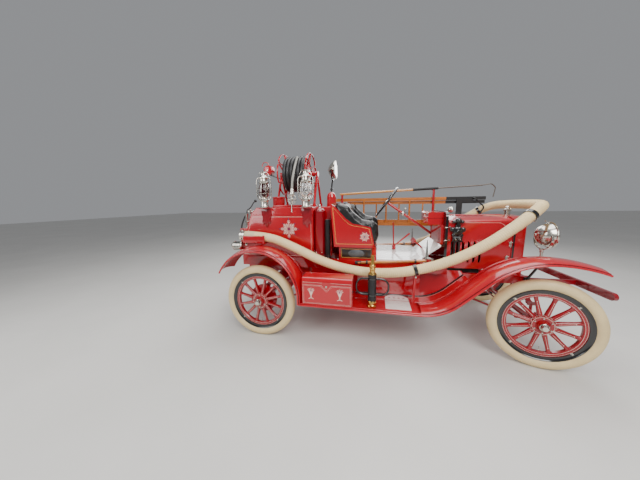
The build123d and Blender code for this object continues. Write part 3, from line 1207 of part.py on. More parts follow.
def build_all():
    add("frame_rails", frame_rails())
    add("front_bumper", front_bumper())
    add("leaf_springs", leaf_springs())
    add("front_axle", front_axle())
    add("rear_axle", rear_axle())
    right_wheel, ring = wheel(), tyre()
    for name, side, hub in (("left", 1, mirrored(right_wheel)), ("right", -1, right_wheel)):
        front, rear = Pos(WHEELBASE, side * TRACK / 2, WHEEL_R), Pos(0, side * TRACK / 2, WHEEL_R)
        add("knuckle_" + name, steered(knuckle(side), side))
        add("wheel_front_" + name, steered(front * hub, side))
        add("tyre_front_" + name, steered(front * ring, side))
        add("wheel_rear_" + name, rear * hub)
        add("tyre_rear_" + name, rear * ring)
    add("tie_rod", tie_rod())
    add("pitman_arm", pitman_arm())
    add("steering_column", steering_column())
    add("steering_wheel", steering_wheel())
    front, rear = fender(front_fender_path(), -1), fender(rear_fender_path(), 1)
    add("front_fender_right", front)
    add("front_fender_left", mirrored(front))
    add("rear_fender_right", rear)
    add("rear_fender_left", mirrored(rear))
    add("running_boards", pair(running_board()))
    add("splash_aprons", pair(splash_apron()))
    add("toolboxes", pair(toolbox()))
    lid = toolbox_lid()
    add("toolbox_lid_right", lid)
    add("toolbox_lid_left", mirrored(lid))
    add("suction_hose", tube_along(hose_points(), HOSE_R, "suction hose"))
    add("hose_couplings", pair(hose_coupling()))
    add("hose_supports", Compound(children=[s for piece in hose_supports() for s in pair(piece).solids()]))
    add("engine", engine())
    add("exhaust", exhaust())
    add("radiator", radiator())
    add("hood", hood())
    add("firewall", firewall())
    add("coil_box", coil_box())
    add("floor_boards", floor_boards())
    add("body_sills", pair(body_sill()))
    add("seat_riser", seat_riser())
    add("seat_shell", seat_shell())
    add("seat_upholstery", seat_upholstery())
    add("tank_body", tank_body())
    add("air_chambers", Compound(children=list(pair(air_chamber()).solids()) + list(dome().solids())))
    add("rear_fittings", rear_fittings())
    add("play_pipes", pair(play_pipe()))
    add("headlamps", pair(headlamp()))
    add("ladder", ladder())
    add("pike_pole", pike_pole())
    add("ladder_stands", Compound(children=[s for p in ladder_stands() for s in p.solids()]))
    add("fire_axes", pair(fire_axe()))
    add("lanterns", Compound(children=[s for x in LANTERNS_X for s in lantern(x).solids()]))
    add("reel_spool", reel_spool())
    add("reel_hose", reel_hose())
    add("reel_stand", reel_stand())
    add("reel_lead", reel_lead())
    add("reel_nozzle", reel_nozzle())
    add("top_lamps", Compound(children=[s for p in top_lamps() for s in p.solids()]))
    add("hand_levers", Compound(children=[s for p in hand_levers() for s in p.solids()]))
    add("side_valve", side_valve())


def main():
    build_all()
    os.makedirs("parts", exist_ok=True)
    for name, shape in parts.items():
        export_step(Pos(REAR_AXLE_X, 0, 0) * shape, os.path.join("parts", name + ".step"))


main()
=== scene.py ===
"""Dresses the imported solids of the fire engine: paint, stripes, leather, hoses and fittings.

Sizes are in millimetres and stations run forward from the rear axle, as in the part's source; place()
turns them into the scene's metres. Every piece rides on a CAD body, and the frame itself never moves.
"""
import random
from math import asin, copysign, cos, exp, floor, pi, radians, sin, tau

import bmesh
import bpy
from mathutils import Matrix, Vector
from mathutils.geometry import tessellate_polygon


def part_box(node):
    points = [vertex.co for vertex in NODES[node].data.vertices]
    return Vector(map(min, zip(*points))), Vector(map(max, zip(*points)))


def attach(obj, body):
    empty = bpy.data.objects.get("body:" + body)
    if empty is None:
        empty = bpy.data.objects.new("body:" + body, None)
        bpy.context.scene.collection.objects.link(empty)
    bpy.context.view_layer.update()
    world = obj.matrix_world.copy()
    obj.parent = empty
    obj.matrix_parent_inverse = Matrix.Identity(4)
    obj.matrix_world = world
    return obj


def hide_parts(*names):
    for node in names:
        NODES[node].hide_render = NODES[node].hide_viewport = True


bl_info = {
    "name": "Fire Engine Dresser",
    "version": (1, 0, 0),
    "blender": (4, 5, 0),
    "location": "View3D > Sidebar > Fire Engine",
    "description": "Adds the finishes, soft goods and small fittings of a 1920s fire engine to its CAD frame",
    "category": "Object",
}

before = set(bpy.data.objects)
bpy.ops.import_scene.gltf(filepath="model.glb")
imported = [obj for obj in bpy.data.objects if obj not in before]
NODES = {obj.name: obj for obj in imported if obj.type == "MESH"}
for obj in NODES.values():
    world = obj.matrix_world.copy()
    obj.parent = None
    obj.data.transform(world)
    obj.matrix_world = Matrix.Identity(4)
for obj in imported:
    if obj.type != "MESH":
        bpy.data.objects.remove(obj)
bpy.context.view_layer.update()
MM = 0.001
UP, AHEAD, BACK, RIGHT, LEFT = (0, 0, 1), (1, 0, 0), (-1, 0, 0), (0, -1, 0), (0, 1, 0)


def node_middle(name):
    low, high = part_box(name)
    return (low + high) / 2


AXLE_X = node_middle("tyre_rear_right").x / MM
WHEELBASE = 2540.0
TRACK_HALF = 711.0
KINGPIN_Y = 616.0
STEER_REST = radians(-15.0)
WHEEL_R = 381.0


def place(x, y, z):
    """A point given in millimetres from the rear axle, in the scene's metres."""
    return Vector(((x + AXLE_X) * MM, y * MM, z * MM))


class Signal:
    """A shader socket that takes part in Python arithmetic by adding Math nodes."""

    def __init__(self, finish, socket):
        self.finish = finish
        self.socket = socket

    def math(self, operation, *values):
        return self.finish.add("ShaderNodeMath", {"operation": operation}, dict(enumerate(values)))

    def __add__(self, other):
        return self.math("ADD", self, other)

    def __sub__(self, other):
        return self.math("SUBTRACT", self, other)

    def __rsub__(self, other):
        return self.math("SUBTRACT", other, self)

    def __mul__(self, other):
        return self.math("MULTIPLY", self, other)

    def __gt__(self, other):
        return self.math("GREATER_THAN", self, other)

    __radd__ = __add__
    __rmul__ = __mul__


class Finish:
    """One material, built as a small network around a Principled shader."""

    def __init__(self, name):
        self.material = bpy.data.materials.new(name)
        self.material.use_nodes = True
        self.tree = self.material.node_tree
        self.tree.nodes.clear()
        self.output = self.tree.nodes.new("ShaderNodeOutputMaterial")

    def add(self, kind, settings=None, sockets=None, out=0):
        """Adds a node: its settings first, then its sockets' values or links; returns one output."""
        node = self.tree.nodes.new(kind)
        for key, value in (settings or {}).items():
            setattr(node, key, value)
        for key, value in (sockets or {}).items():
            if isinstance(value, Signal):
                self.tree.links.new(value.socket, node.inputs[key])
            else:
                node.inputs[key].default_value = value
        return Signal(self, node.outputs[out])

    def where(self):
        return self.add("ShaderNodeTexCoord", out="Object")

    def axis(self, letter):
        return self.add("ShaderNodeSeparateXYZ", None, {0: self.where()}, out=letter)

    def stretched(self, scale):
        return self.add("ShaderNodeMapping", None, {"Vector": self.where(), "Scale": scale})

    def noise(self, scale, detail, vector=None, roughness=0.55, distortion=0.0):
        sockets = {"Vector": vector or self.where(), "Scale": scale, "Detail": detail,
                   "Roughness": roughness, "Distortion": distortion}
        return self.add("ShaderNodeTexNoise", None, sockets)

    def cells(self, scale, vector):
        return self.add("ShaderNodeTexVoronoi", None, {"Vector": vector, "Scale": scale}, out="Distance")

    def levels(self, signal, low, high, to_low=0.0, to_high=1.0):
        return self.add("ShaderNodeMapRange", {"clamp": True}, {0: signal, 1: low, 2: high,
                3: to_low, 4: to_high})

    def blend(self, factor, first, second):
        return self.add("ShaderNodeMix", {"data_type": "RGBA"}, {0: factor, 6: first, 7: second}, out=2)

    def bump(self, height, strength, distance):
        return self.add("ShaderNodeBump", None, {"Height": height, "Strength": strength,
                "Distance": distance})

    def shade(self, colour, **sockets):
        """Closes the network with a Principled shader; keywords are its socket names."""
        values = {"Base Color": colour}
        values.update({key.replace("_", " "): value for key, value in sockets.items()})
        shader = self.add("ShaderNodeBsdfPrincipled", None, values)
        self.tree.links.new(shader.socket, self.output.inputs["Surface"])
        return self.material


def rgb(red, green, blue):
    """An sRGB colour from 0 to 255, made linear."""
    return tuple(((c / 255 + 0.055) / 1.055) ** 2.4 if c > 10 else c / 3294
            for c in (red, green, blue)) + (1.0,)


def scaled(colour, factor):
    return tuple(c * factor for c in colour[:3]) + (1.0,)


def enamel(name, colour, roughness=0.12, zones=()):
    """Glossy coach enamel: faint tone changes, a little dust on what faces up, a trace of brush-out.

    Each zone is a rear, front and low station in millimetres, and the colour between and above them.
    """
    finish = Finish(name)
    tone = finish.levels(finish.noise(2.6, 3), 0.35, 0.7)
    up = finish.add("ShaderNodeSeparateXYZ", None, {0: finish.add("ShaderNodeNewGeometry",
            out="Normal")}, out="Z")
    dust = finish.levels(finish.noise(34, 6), 0.42, 0.72) * finish.levels(up, 0.55, 1.0, 0.0, 0.22)
    base = finish.blend(tone, scaled(colour, 0.86), scaled(colour, 1.06))
    for rear, front, low, other in zones:
        inside = (finish.axis("X") > (rear + AXLE_X) * MM) * (1 - (finish.axis("X") > (front + AXLE_X) * MM))
        base = finish.blend(inside * (finish.axis("Z") > low * MM), base, other)
    base = finish.blend(dust * 0.4, base, rgb(150, 132, 118))
    ripple = finish.noise(240, 2) * 0.35 + finish.noise(18, 2)
    return finish.shade(base, Roughness=finish.levels(finish.noise(60, 5), 0.3, 0.8, roughness,
            roughness + 0.07) + dust * 0.5, Coat_Weight=0.7, Coat_Roughness=0.04, IOR=1.5,
            Normal=finish.bump(ripple, 0.05, 0.0012))


def plated(name, colour, roughness=0.16, metal=1.0):
    """Polished plating, with faint swirls, dull patches and darker patches spread by noise."""
    finish = Finish(name)
    cloud = finish.levels(finish.noise(22, 5), 0.4, 0.75)
    spots = finish.levels(finish.noise(150, 4), 0.58, 0.75)
    base = finish.blend(cloud * 0.35 + spots * 0.25, colour, scaled(colour, 0.55))
    rough = finish.levels(finish.noise(70, 6), 0.3, 0.8, roughness * 0.6, roughness * 1.9) + spots * 0.12
    return finish.shade(base, Metallic=metal, Roughness=rough,
            Normal=finish.bump(finish.noise(420, 3), 0.05, 0.0006))


def rubber(name, colour, roughness=0.55, mottle=0.8, grain=0.15):
    """Aged rubber: mottled tone, a fine matt grain and grime in patches."""
    finish = Finish(name)
    cloud = finish.levels(finish.noise(9, 6, roughness=0.62), 0.35, 0.75)
    specks = finish.levels(finish.noise(190, 5), 0.56, 0.78)
    base = finish.blend(cloud, colour, scaled(colour, mottle))
    base = finish.blend(specks * 0.28, base, scaled(colour, 0.45))
    return finish.shade(base, Roughness=finish.levels(finish.noise(45, 5), 0.3, 0.8, roughness - 0.1,
            roughness + 0.14), Normal=finish.bump(finish.noise(620, 4) + specks * 0.3, grain, 0.0008))


def leather(name, colour):
    """Black upholstery leather: pebbled grain, creases and a polish where it is rubbed."""
    finish = Finish(name)
    pebble = finish.cells(430, finish.stretched((1.0, 1.0, 0.8)))
    crease = finish.levels(finish.noise(16, 7, roughness=0.7, distortion=1.6), 0.44, 0.56)
    wear = finish.levels(finish.noise(7, 4), 0.42, 0.72)
    base = finish.blend(wear * 0.4, colour, rgb(34, 29, 26))
    height = pebble * -0.5 + crease * 0.6
    return finish.shade(base, Roughness=finish.levels(finish.noise(28, 5), 0.3, 0.8, 0.26,
            0.46) - wear * 0.08, Coat_Weight=0.25, Coat_Roughness=0.22,
            Normal=finish.bump(height, 0.32, 0.0016))


def varnished(name, colour, along=(3.0, 55.0, 55.0), dark_front=None, bright_front=None):
    """Varnished ash with long grain; past dark_front (mm) it is black iron, past bright_front steel."""
    finish = Finish(name)
    grain = finish.noise(1.0, 6, finish.stretched(along), 0.6, 0.8)
    rings = finish.levels(grain, 0.4, 0.62)
    pores = finish.levels(finish.noise(1.0, 3, finish.stretched(tuple(a * 6 for a in along))), 0.52, 0.7)
    base = finish.blend(rings, colour, scaled(colour, 0.52))
    base = finish.blend(pores * 0.35, base, scaled(colour, 0.25))
    rough = finish.levels(grain, 0.3, 0.7, 0.2, 0.34)
    coat = 0.5
    if dark_front is not None:
        iron = finish.axis("X") > (dark_front + AXLE_X) * MM
        base = finish.blend(iron, base, rgb(11, 11, 12))
        rough = rough + iron * 0.3
        coat = 0.5 - iron * 0.45
    metal = 0.0
    if bright_front is not None:
        metal = finish.axis("X") > (bright_front + AXLE_X) * MM
        base = finish.blend(metal, base, rgb(112, 103, 96))
    return finish.shade(base, Roughness=rough, Metallic=metal, Coat_Weight=coat, Coat_Roughness=0.08,
            Normal=finish.bump(grain + pores * 0.5, 0.12, 0.0008))


def iron(name, colour):
    """Black-painted forgings: slightly uneven, satin, with lighter rubbed spots."""
    finish = Finish(name)
    rub = finish.levels(finish.noise(38, 6), 0.55, 0.78)
    base = finish.blend(rub * 0.5, colour, scaled(colour, 2.6))
    return finish.shade(base, Roughness=finish.levels(finish.noise(26, 6), 0.3, 0.8, 0.3, 0.55),
            Coat_Weight=0.2, Normal=finish.bump(finish.noise(130, 5), 0.14, 0.0014))


def glass(name, colour, clear=0.92):
    """Lamp glass, thin enough to see the burner through."""
    finish = Finish(name)
    streaks = finish.levels(finish.noise(60, 4, finish.stretched((1.0, 1.0, 0.2))), 0.45, 0.75)
    return finish.shade(finish.blend(streaks * 0.3, colour, scaled(colour, 0.7)), Transmission_Weight=clear,
            IOR=1.45, Roughness=finish.levels(streaks, 0.0, 1.0, 0.04, 0.12))


def striping(name, colour):
    """Hand-laid stripe paint: thin places and a slight unevenness along its length."""
    finish = Finish(name)
    thin = finish.levels(finish.noise(85, 4), 0.45, 0.8)
    return finish.shade(finish.blend(thin * 0.45, colour, scaled(colour, 0.72)),
            Roughness=finish.levels(thin, 0.0, 1.0, 0.25, 0.42), Coat_Weight=0.4,
            Normal=finish.bump(finish.noise(300, 3), 0.08, 0.0004))


RED = rgb(176, 0, 22)
DARK_RED = rgb(136, 12, 26)
FINISHES = {}


def make_finishes(colours):
    red, dark, black = tuple(colours.red), tuple(colours.dark_red), rgb(14, 13, 15)
    FINISHES.update({
        "red": enamel("coach_red", red),
        "dark_red": enamel("wine_red", dark, 0.14),
        "wheel_red": enamel("wheel_red", scaled(red, 0.66), 0.16),
        "black": enamel("black_enamel", black),
        "white": enamel("white_boards", rgb(226, 226, 220), 0.2),
        "iron": iron("black_iron", rgb(24, 23, 24)),
        "steel": plated("worn_steel", rgb(150, 148, 145), 0.3),
        "nickel": plated("nickel_plate", rgb(214, 209, 198)),
        "brass": plated("polished_brass", rgb(212, 172, 96)),
        "tyre": rubber("cream_rubber", tuple(colours.cream), 0.5, 0.82),
        "hose": rubber("cream_hose_cover", scaled(tuple(colours.cream), 1.08), 0.55, 0.84),
        "hose_end": rubber("hose_end_cuff", rgb(206, 188, 148), 0.6),
        # Grey of the reel's lead: painted highlight on the black hose's last turn.
        "lead_painted_highlight": rubber("lead_hose_grey_painted_highlight", rgb(140, 138, 130), 0.5),
        "rubber": rubber("black_rubber", rgb(38, 37, 38), 0.42, 0.6, 0.1),
        "leather": leather("black_leather", rgb(11, 10, 10)),
        "wood": varnished("varnished_ash", rgb(205, 128, 54)),
        "ladder_wood": varnished("ladder_ash", rgb(205, 118, 46), dark_front=2040.0),
        "pole_wood": varnished("pole_ash", rgb(224, 156, 78), (2.0, 70.0, 70.0), 1640.0, 1952.0),
        "banded_red": enamel("banded_red", red, zones=((1480.0, 1620.0, 705.0, black),
                                                       (2380.0, 2500.0, 1230.0, black))),
        "chamber_red": enamel("chamber_red", dark, zones=((560.0, 720.0, 1340.0, red),)),
        "tread_plate": plated("tread_plate", rgb(246, 243, 236), 0.42, 0.45),
        "clear_glass": glass("clear_glass", (0.95, 0.97, 0.97, 1.0)),
        "ruby_glass": glass("ruby_glass", rgb(58, 3, 8), 0.35),
        # cream_line paints the pinstripes, and also the painted highlights on the skirts.
        "cream_line": striping("cream_stripes_and_painted_highlights", rgb(238, 205, 190)),
        "gold_line": striping("gold_stripe", rgb(226, 150, 74)),
        # black_line draws the floor's board joints, and also the painted shade beside the fender beads and
        # along the boards' inner edges.
        "black_line": striping("black_joints_and_painted_shade", rgb(26, 12, 14)),
        "blue_line": striping("blue_stripe", rgb(62, 52, 92)),
        "panel": enamel("dark_panel", rgb(34, 24, 22), 0.3),
        "dull_plate": plated("dull_plate", rgb(120, 122, 126), 0.38),
    })


def bearings(count, start=0.0):
    """Angles at equal steps round a circle."""
    return [tau * (k + start) / count for k in range(count)]


def outward(angle):
    return Vector((cos(angle), sin(angle), 0))


def round_section(radius, sides=16, flat=1.0):
    return [(radius * cos(a), radius * flat * sin(a)) for a in bearings(sides)]


def frame_along(tangent):
    """Two unit vectors square to a direction."""
    side = tangent.cross(Vector(UP))
    if side.length < 1e-6:
        side = tangent.cross(Vector(LEFT))
    side.normalize()
    return side, side.cross(tangent).normalized()


def curve_through(points, steps):
    """A smooth line through points, by Catmull-Rom spans."""
    points = [Vector(p) for p in points]
    line = []
    for i in range(len(points) - 1):
        p0 = points[i - 1] if i else points[0] * 2 - points[1]
        p1, p2 = points[i], points[i + 1]
        p3 = points[i + 2] if i + 2 < len(points) else p2 * 2 - p1
        for step in range(steps):
            t = step / steps
            line.append(0.5 * ((2 * p1) + (p2 - p0) * t + (2 * p0 - 5 * p1 + 4 * p2 - p3) * t * t
                    + (3 * p1 - p0 - 3 * p2 + p3) * t ** 3))
    return line + [points[-1]]


def circle_points(centre, radius, normal, steps, start=0.0, sweep=tau):
    """Points on a circle; a full sweep leaves out the last, which would repeat the first."""
    side, up = frame_along(Vector(normal).normalized())
    count = steps if sweep == tau else steps + 1
    angles = [start + sweep * i / steps for i in range(count)]
    return [Vector(centre) + side * radius * cos(a) + up * radius * sin(a) for a in angles]


class Form:
    """Gathers one piece's mesh from lathed, swept, extruded and bevelled shapes."""

    def __init__(self, matrix=None):
        self.points, self.faces, self.parts = [], [], []
        self.part = 0
        self.matrix = matrix or Matrix.Identity(4)

    def add(self, points, faces):
        start = len(self.points)
        self.points += [self.matrix @ Vector(p) for p in points]
        flip = self.matrix.determinant() < 0
        for face in faces:
            row = [start + i for i in face]
            self.faces.append(row[::-1] if flip else row)
        self.parts += [self.part] * len(faces)
        return self

    def use(self, part):
        self.part = part
        return self

    def lathe(self, profile, origin=(0, 0, 0), axis=UP, steps=32, closed=False):
        """Turns (radius, height) pairs about an axis."""
        axis = Vector(axis).normalized()
        side, up = frame_along(axis)
        origin = Vector(origin)
        points, rings = [], []
        for radius, height in profile:
            centre = origin + axis * height
            if radius < 1e-4:
                rings.append([len(points)])
                points.append(centre)
                continue
            rings.append(list(range(len(points), len(points) + steps)))
            for angle in bearings(steps):
                points.append(centre + side * radius * cos(angle) - up * radius * sin(angle))
        faces = []
        pairs = list(zip(rings, rings[1:])) + ([(rings[-1], rings[0])] if closed else [])
        for low, high in pairs:
            for i in range(steps):
                j = (i + 1) % steps
                if len(low) == 1 and len(high) == 1:
                    continue
                if len(low) == 1:
                    faces.append((low[0], high[j], high[i]))
                elif len(high) == 1:
                    faces.append((low[i], low[j], high[0]))
                else:
                    faces.append((low[i], low[j], high[j], high[i]))
        return self.add(points, [f[::-1] for f in faces])

    def sweep(self, path, section, closed=False, normals=None, scale=None):
        """Sweeps a closed section of (side, up) pairs; normals fix its up direction at each point."""
        path = [Vector(p) for p in path]
        count = len(path)
        points, faces = [], []
        up = None
        for i, point in enumerate(path):
            before = path[i - 1] if i or closed else point
            after = path[(i + 1) % count] if i + 1 < count or closed else point
            tangent = (after - before).normalized()
            if normals is not None:
                up = Vector(normals[i] if isinstance(normals, list) else normals)
            elif up is None:
                up = frame_along(tangent)[1]
            up = (up - tangent * up.dot(tangent)).normalized()
            side = tangent.cross(up)
            size = scale(i / max(1, count - 1)) if scale else 1.0
            points += [point + side * s * size + up * u * size for s, u in section]
        n = len(section)
        for i in range(count if closed else count - 1):
            a, b = i * n, ((i + 1) % count) * n
            faces += [(a + k, a + (k + 1) % n, b + (k + 1) % n, b + k) for k in range(n)]
        if not closed:
            faces += [tuple(range(n))[::-1], tuple(range((count - 1) * n, count * n))]
        return self.add(points, faces)

    def tube(self, path, radius, sides=12, closed=False):
        return self.sweep(path, round_section(radius, sides), closed)

    def ring(self, centre, radius, thickness, normal, steps, sides):
        return self.tube(circle_points(centre, radius, normal, steps), thickness, sides, True)

    def extrude(self, outline, normal, depth, bevel=0.0, segments=2):
        """Extrudes a closed outline of points along a direction, with rounded edges."""
        solid = bmesh.new()
        offset = Vector(normal).normalized() * depth
        face = solid.faces.new([solid.verts.new(p) for p in outline])
        moved = bmesh.ops.extrude_face_region(solid, geom=[face])["geom"]
        bmesh.ops.translate(solid, vec=offset, verts=[v for v in moved if isinstance(v, bmesh.types.BMVert)])
        bmesh.ops.recalc_face_normals(solid, faces=solid.faces)
        if bevel:
            edges = [e for e in solid.edges if len(e.link_faces) == 2 and e.calc_face_angle() > 0.5]
            bmesh.ops.bevel(solid, geom=edges, offset=bevel, segments=segments, profile=0.5, affect="EDGES")
        solid.verts.index_update()
        self.add([v.co.copy() for v in solid.verts], [[v.index for v in f.verts] for f in solid.faces])
        solid.free()
        return self

    def block(self, low, high, bevel=2.0, segments=2):
        """A box between two corners with rounded edges."""
        x0, y0, z0 = low
        x1, y1, z1 = high
        outline = [(x0, y0, z0), (x1, y0, z0), (x1, y1, z0), (x0, y1, z0)]
        return self.extrude(outline, UP, z1 - z0, bevel, segments)

    def grid(self, rows, closed=False, caps=False):
        """A surface through rows of points of equal length."""
        n = len(rows[0])
        points = [p for row in rows for p in row]
        faces = []
        for i in range(len(rows) - 1):
            for k in range(n if closed else n - 1):
                j = (k + 1) % n
                faces.append((i * n + k, i * n + j, (i + 1) * n + j, (i + 1) * n + k))
        if caps:
            faces += [tuple(range(n))[::-1], tuple(range(len(points) - n, len(points)))]
        return self.add(points, faces)

    def stripe(self, path, normal, width, lift=0.5, closed=False):
        """A painted line: a thin flat strip along a path, lifted off the surface behind it."""
        half = width / 2
        section = [(-half, lift - 0.45), (half, lift - 0.45), (half, lift), (-half, lift)]
        return self.sweep(path, section, closed, normal)

    def bolt(self, point, axis, radius, height):
        """A hexagon head with a rounded crown."""
        profile = [(radius, 0), (radius, height * 0.75), (radius * 0.8, height), (0, height)]
        return self.lathe(profile, point, axis, 6)


def build(form, name, finishes, replaces=(), sharp=32.0, body="chassis"):
    """Makes the form's object in metres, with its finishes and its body."""
    mesh = bpy.data.meshes.new(name)
    mesh.from_pydata([place(*p) for p in form.points], [], form.faces)
    mesh.validate()
    for finish in finishes:
        mesh.materials.append(FINISHES[finish])
    if len(finishes) > 1 and len(mesh.polygons) == len(form.parts):
        mesh.polygons.foreach_set("material_index", form.parts)
    mesh.shade_smooth()
    mesh.set_sharp_from_angle(angle=radians(sharp))
    piece = bpy.data.objects.new(name, mesh)
    bpy.context.scene.collection.objects.link(piece)
    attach(piece, body)
    if replaces:
        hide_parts(*replaces)
    return piece


def both_sides(form, paint):
    """Draws the same shapes on the right and, mirrored, on the left."""
    for matrix in (Matrix.Identity(4), Matrix.Diagonal((1, -1, 1, 1))):
        form.matrix = matrix
        paint(form)
    form.matrix = Matrix.Identity(4)
    return form


def nurbs_line(name, points):
    """A smooth line in metres whose control points are a route's points, in millimetres."""
    curve = bpy.data.curves.new(name, "CURVE")
    curve.dimensions = "3D"
    curve.resolution_u = 24
    spline = curve.splines.new("NURBS")
    spline.points.add(len(points) - 1)
    for control, point in zip(spline.points, points):
        control.co = (*place(*point), 1.0)
    spline.order_u = 3
    spline.use_endpoint_u = True
    holder = bpy.data.objects.new(name, curve)
    mesh = bpy.data.meshes.new_from_object(holder)
    line = [vertex.co.copy() for vertex in mesh.vertices]
    bpy.data.objects.remove(holder)
    bpy.data.meshes.remove(mesh)
    bpy.data.curves.remove(curve)
    return line


def even_steps(line, step):
    """Points at equal distances along a line."""
    lengths = [0.0]
    for a, b in zip(line, line[1:]):
        lengths.append(lengths[-1] + (b - a).length)
    count = max(2, round(lengths[-1] / step))
    points, i = [], 0
    for k in range(count + 1):
        target = lengths[-1] * k / count
        while i < len(line) - 2 and lengths[i + 1] < target:
            i += 1
        span = max(lengths[i + 1] - lengths[i], 1e-9)
        points.append(line[i].lerp(line[i + 1], (target - lengths[i]) / span))
    return points


def line_length(line):
    return sum((b - a).length for a, b in zip(line, line[1:]))


def from_axle(point):
    """A scene point in metres, back in millimetres from the rear axle."""
    return Vector((point.x / MM - AXLE_X, point.y / MM, point.z / MM))


def colour_property(label, description, default):
    return bpy.props.FloatVectorProperty(name=label, description=description, subtype="COLOR", size=4,
            min=0.0, max=1.0, default=default)


def length_property(label, description, default, low, high):
    return bpy.props.FloatProperty(name=label, description=description, default=default, min=low, max=high,
            unit="LENGTH", subtype="DISTANCE")


class EngineColours(bpy.types.PropertyGroup):
    """The paints and rubber a user would change."""
    red: colour_property("Coach Red", "Enamel of the body, hood and fenders", RED)
    # Dark Red also colours the wavy plates under the lanterns, which are painted reflection of the lanterns.
    dark_red: colour_property("Dark Red", "Enamel of the cylinders and brackets", DARK_RED)
    cream: colour_property("Cream", "Rubber of the tyres and of the suction hose", rgb(222, 198, 148))


class EngineSizes(bpy.types.PropertyGroup):
    """The sizes of small forms a user would change."""
    rib_pitch: length_property("Hose Rib Pitch",
            "Distance between the suction hose's ribs", 0.017, 0.008, 0.03)
    rib_depth: length_property("Hose Rib Depth",
            "How deep the grooves between the ribs are", 0.0034, 0.0, 0.006)
    bead: length_property("Fender Bead",
            "Radius of the two beads along a fender's edge", 0.0065, 0.003, 0.012)
    swell: length_property("Upholstery Swell",
            "How far the leather may bulge when it is stuffed", 0.024, 0.005, 0.03)
    coil_turns: bpy.props.IntProperty(name="Coil Turns", description="Turns of hose seen on the reel",
            default=6, min=3, max=10)
    stuffing: bpy.props.FloatProperty(name="Stuffing", description="Air pressure that fills the cushions",
            default=4.0, min=0.5, max=8.0)


# The photograph's camera: its place, its yaw, pitch and roll, and its focal length in pixels.
CAMERA_AT = (1174.754, -2885.157, 1397.567)
CAMERA_TURN = (-0.235, 0.158, -0.015)
CAMERA_FOCAL, PICTURE_WIDTH = 236.71, 640.0


class SetStage(bpy.types.Operator):
    """Lays the pale floor, the soft studio lamps and the camera"""
    bl_idname = "fire_engine.stage"
    bl_label = "Stage, Lamps and Camera"

    def execute(self, context):
        scene = context.scene
        ground_mesh = bpy.data.meshes.new("studio_floor")
        corners = [(-30, -30, 0), (30, -30, 0), (30, 30, 0), (-30, 30, 0)]
        ground_mesh.from_pydata(corners, [], [(0, 1, 2, 3)])
        paint = Finish("studio_floor")
        tone = paint.blend(paint.levels(paint.noise(0.8, 5), 0.3, 0.7), rgb(206, 204,
                199), rgb(214, 212, 207))
        ground_mesh.materials.append(paint.shade(tone, Roughness=paint.levels(paint.noise(9, 4),
                0.3, 0.7, 0.42, 0.6)))
        ground = bpy.data.objects.new("studio_floor", ground_mesh)
        scene.collection.objects.link(ground)
        world = bpy.data.worlds.new("studio")
        world.use_nodes = True
        sky = world.node_tree.nodes["Background"]
        sky.inputs["Color"].default_value = (0.86, 0.88, 0.92, 1.0)
        sky.inputs["Strength"].default_value = 0.34
        scene.world = world
        for name, spot, aim, size, power in (
                ("key_softbox", (1.6, -4.6, 4.2), (0.0, 0.0, 0.8), 3.2, 300.0),
                ("fill_softbox", (-4.2, -3.4, 3.0), (-0.6, 0.0, 0.9), 3.0, 120.0),
                ("top_softbox", (0.2, 0.4, 5.2), (0.0, 0.0, 0.5), 4.5, 260.0),
                ("far_softbox", (0.6, 5.2, 3.6), (0.0, 0.0, 0.8), 3.5, 180.0)):
            lamp = bpy.data.lights.new(name, "AREA")
            lamp.size = size
            lamp.energy = power
            holder = bpy.data.objects.new(name, lamp)
            holder.location = spot
            holder.rotation_euler = (Vector(aim) - Vector(spot)).to_track_quat("-Z", "Y").to_euler()
            scene.collection.objects.link(holder)
        yaw, pitch, roll = CAMERA_TURN
        ahead = Vector((sin(yaw) * cos(pitch), cos(yaw) * cos(pitch), -sin(pitch)))
        level = Vector((cos(yaw), -sin(yaw), 0.0))
        upright = level.cross(ahead)
        right = level * cos(roll) + upright * sin(roll)
        up = upright * cos(roll) - level * sin(roll)
        lens = bpy.data.cameras.new("camera")
        lens.lens = CAMERA_FOCAL * lens.sensor_width / PICTURE_WIDTH
        lens.clip_start = 0.05
        camera = bpy.data.objects.new("camera", lens)
        turned = Matrix((right, up, -ahead)).transposed().to_4x4()
        camera.matrix_world = Matrix.Translation(place(*CAMERA_AT)) @ turned
        scene.collection.objects.link(camera)
        scene.camera = camera
        make_finishes(scene.fire_engine_colours)
        return {"FINISHED"}


HOSE_HALF = [(-195, -600, 1056), (60, -600, 1053), (340, -600, 947), (680, -600, 786), (1020, -600, 712),
        (1380, -600, 716), (1740, -600, 810), (2060, -600, 975), (2330, -590, 1185),
        (2530, -480, 1330), (2672, -250, 1346)]
LEAD_ROUTE = [(262, -145, 1920), (272, -246, 1838), (286, -345, 1748), (295, -422, 1660),
        (297, -452, 1600), (297, -460, 1536)]
HOSE_R, HOSE_SIDES = 47.5, 22
HOSE_CUFF, HOSE_CUFF_STEP = 0.11, 0.012  # along the hose, in metres
LEAD_R = 13.0


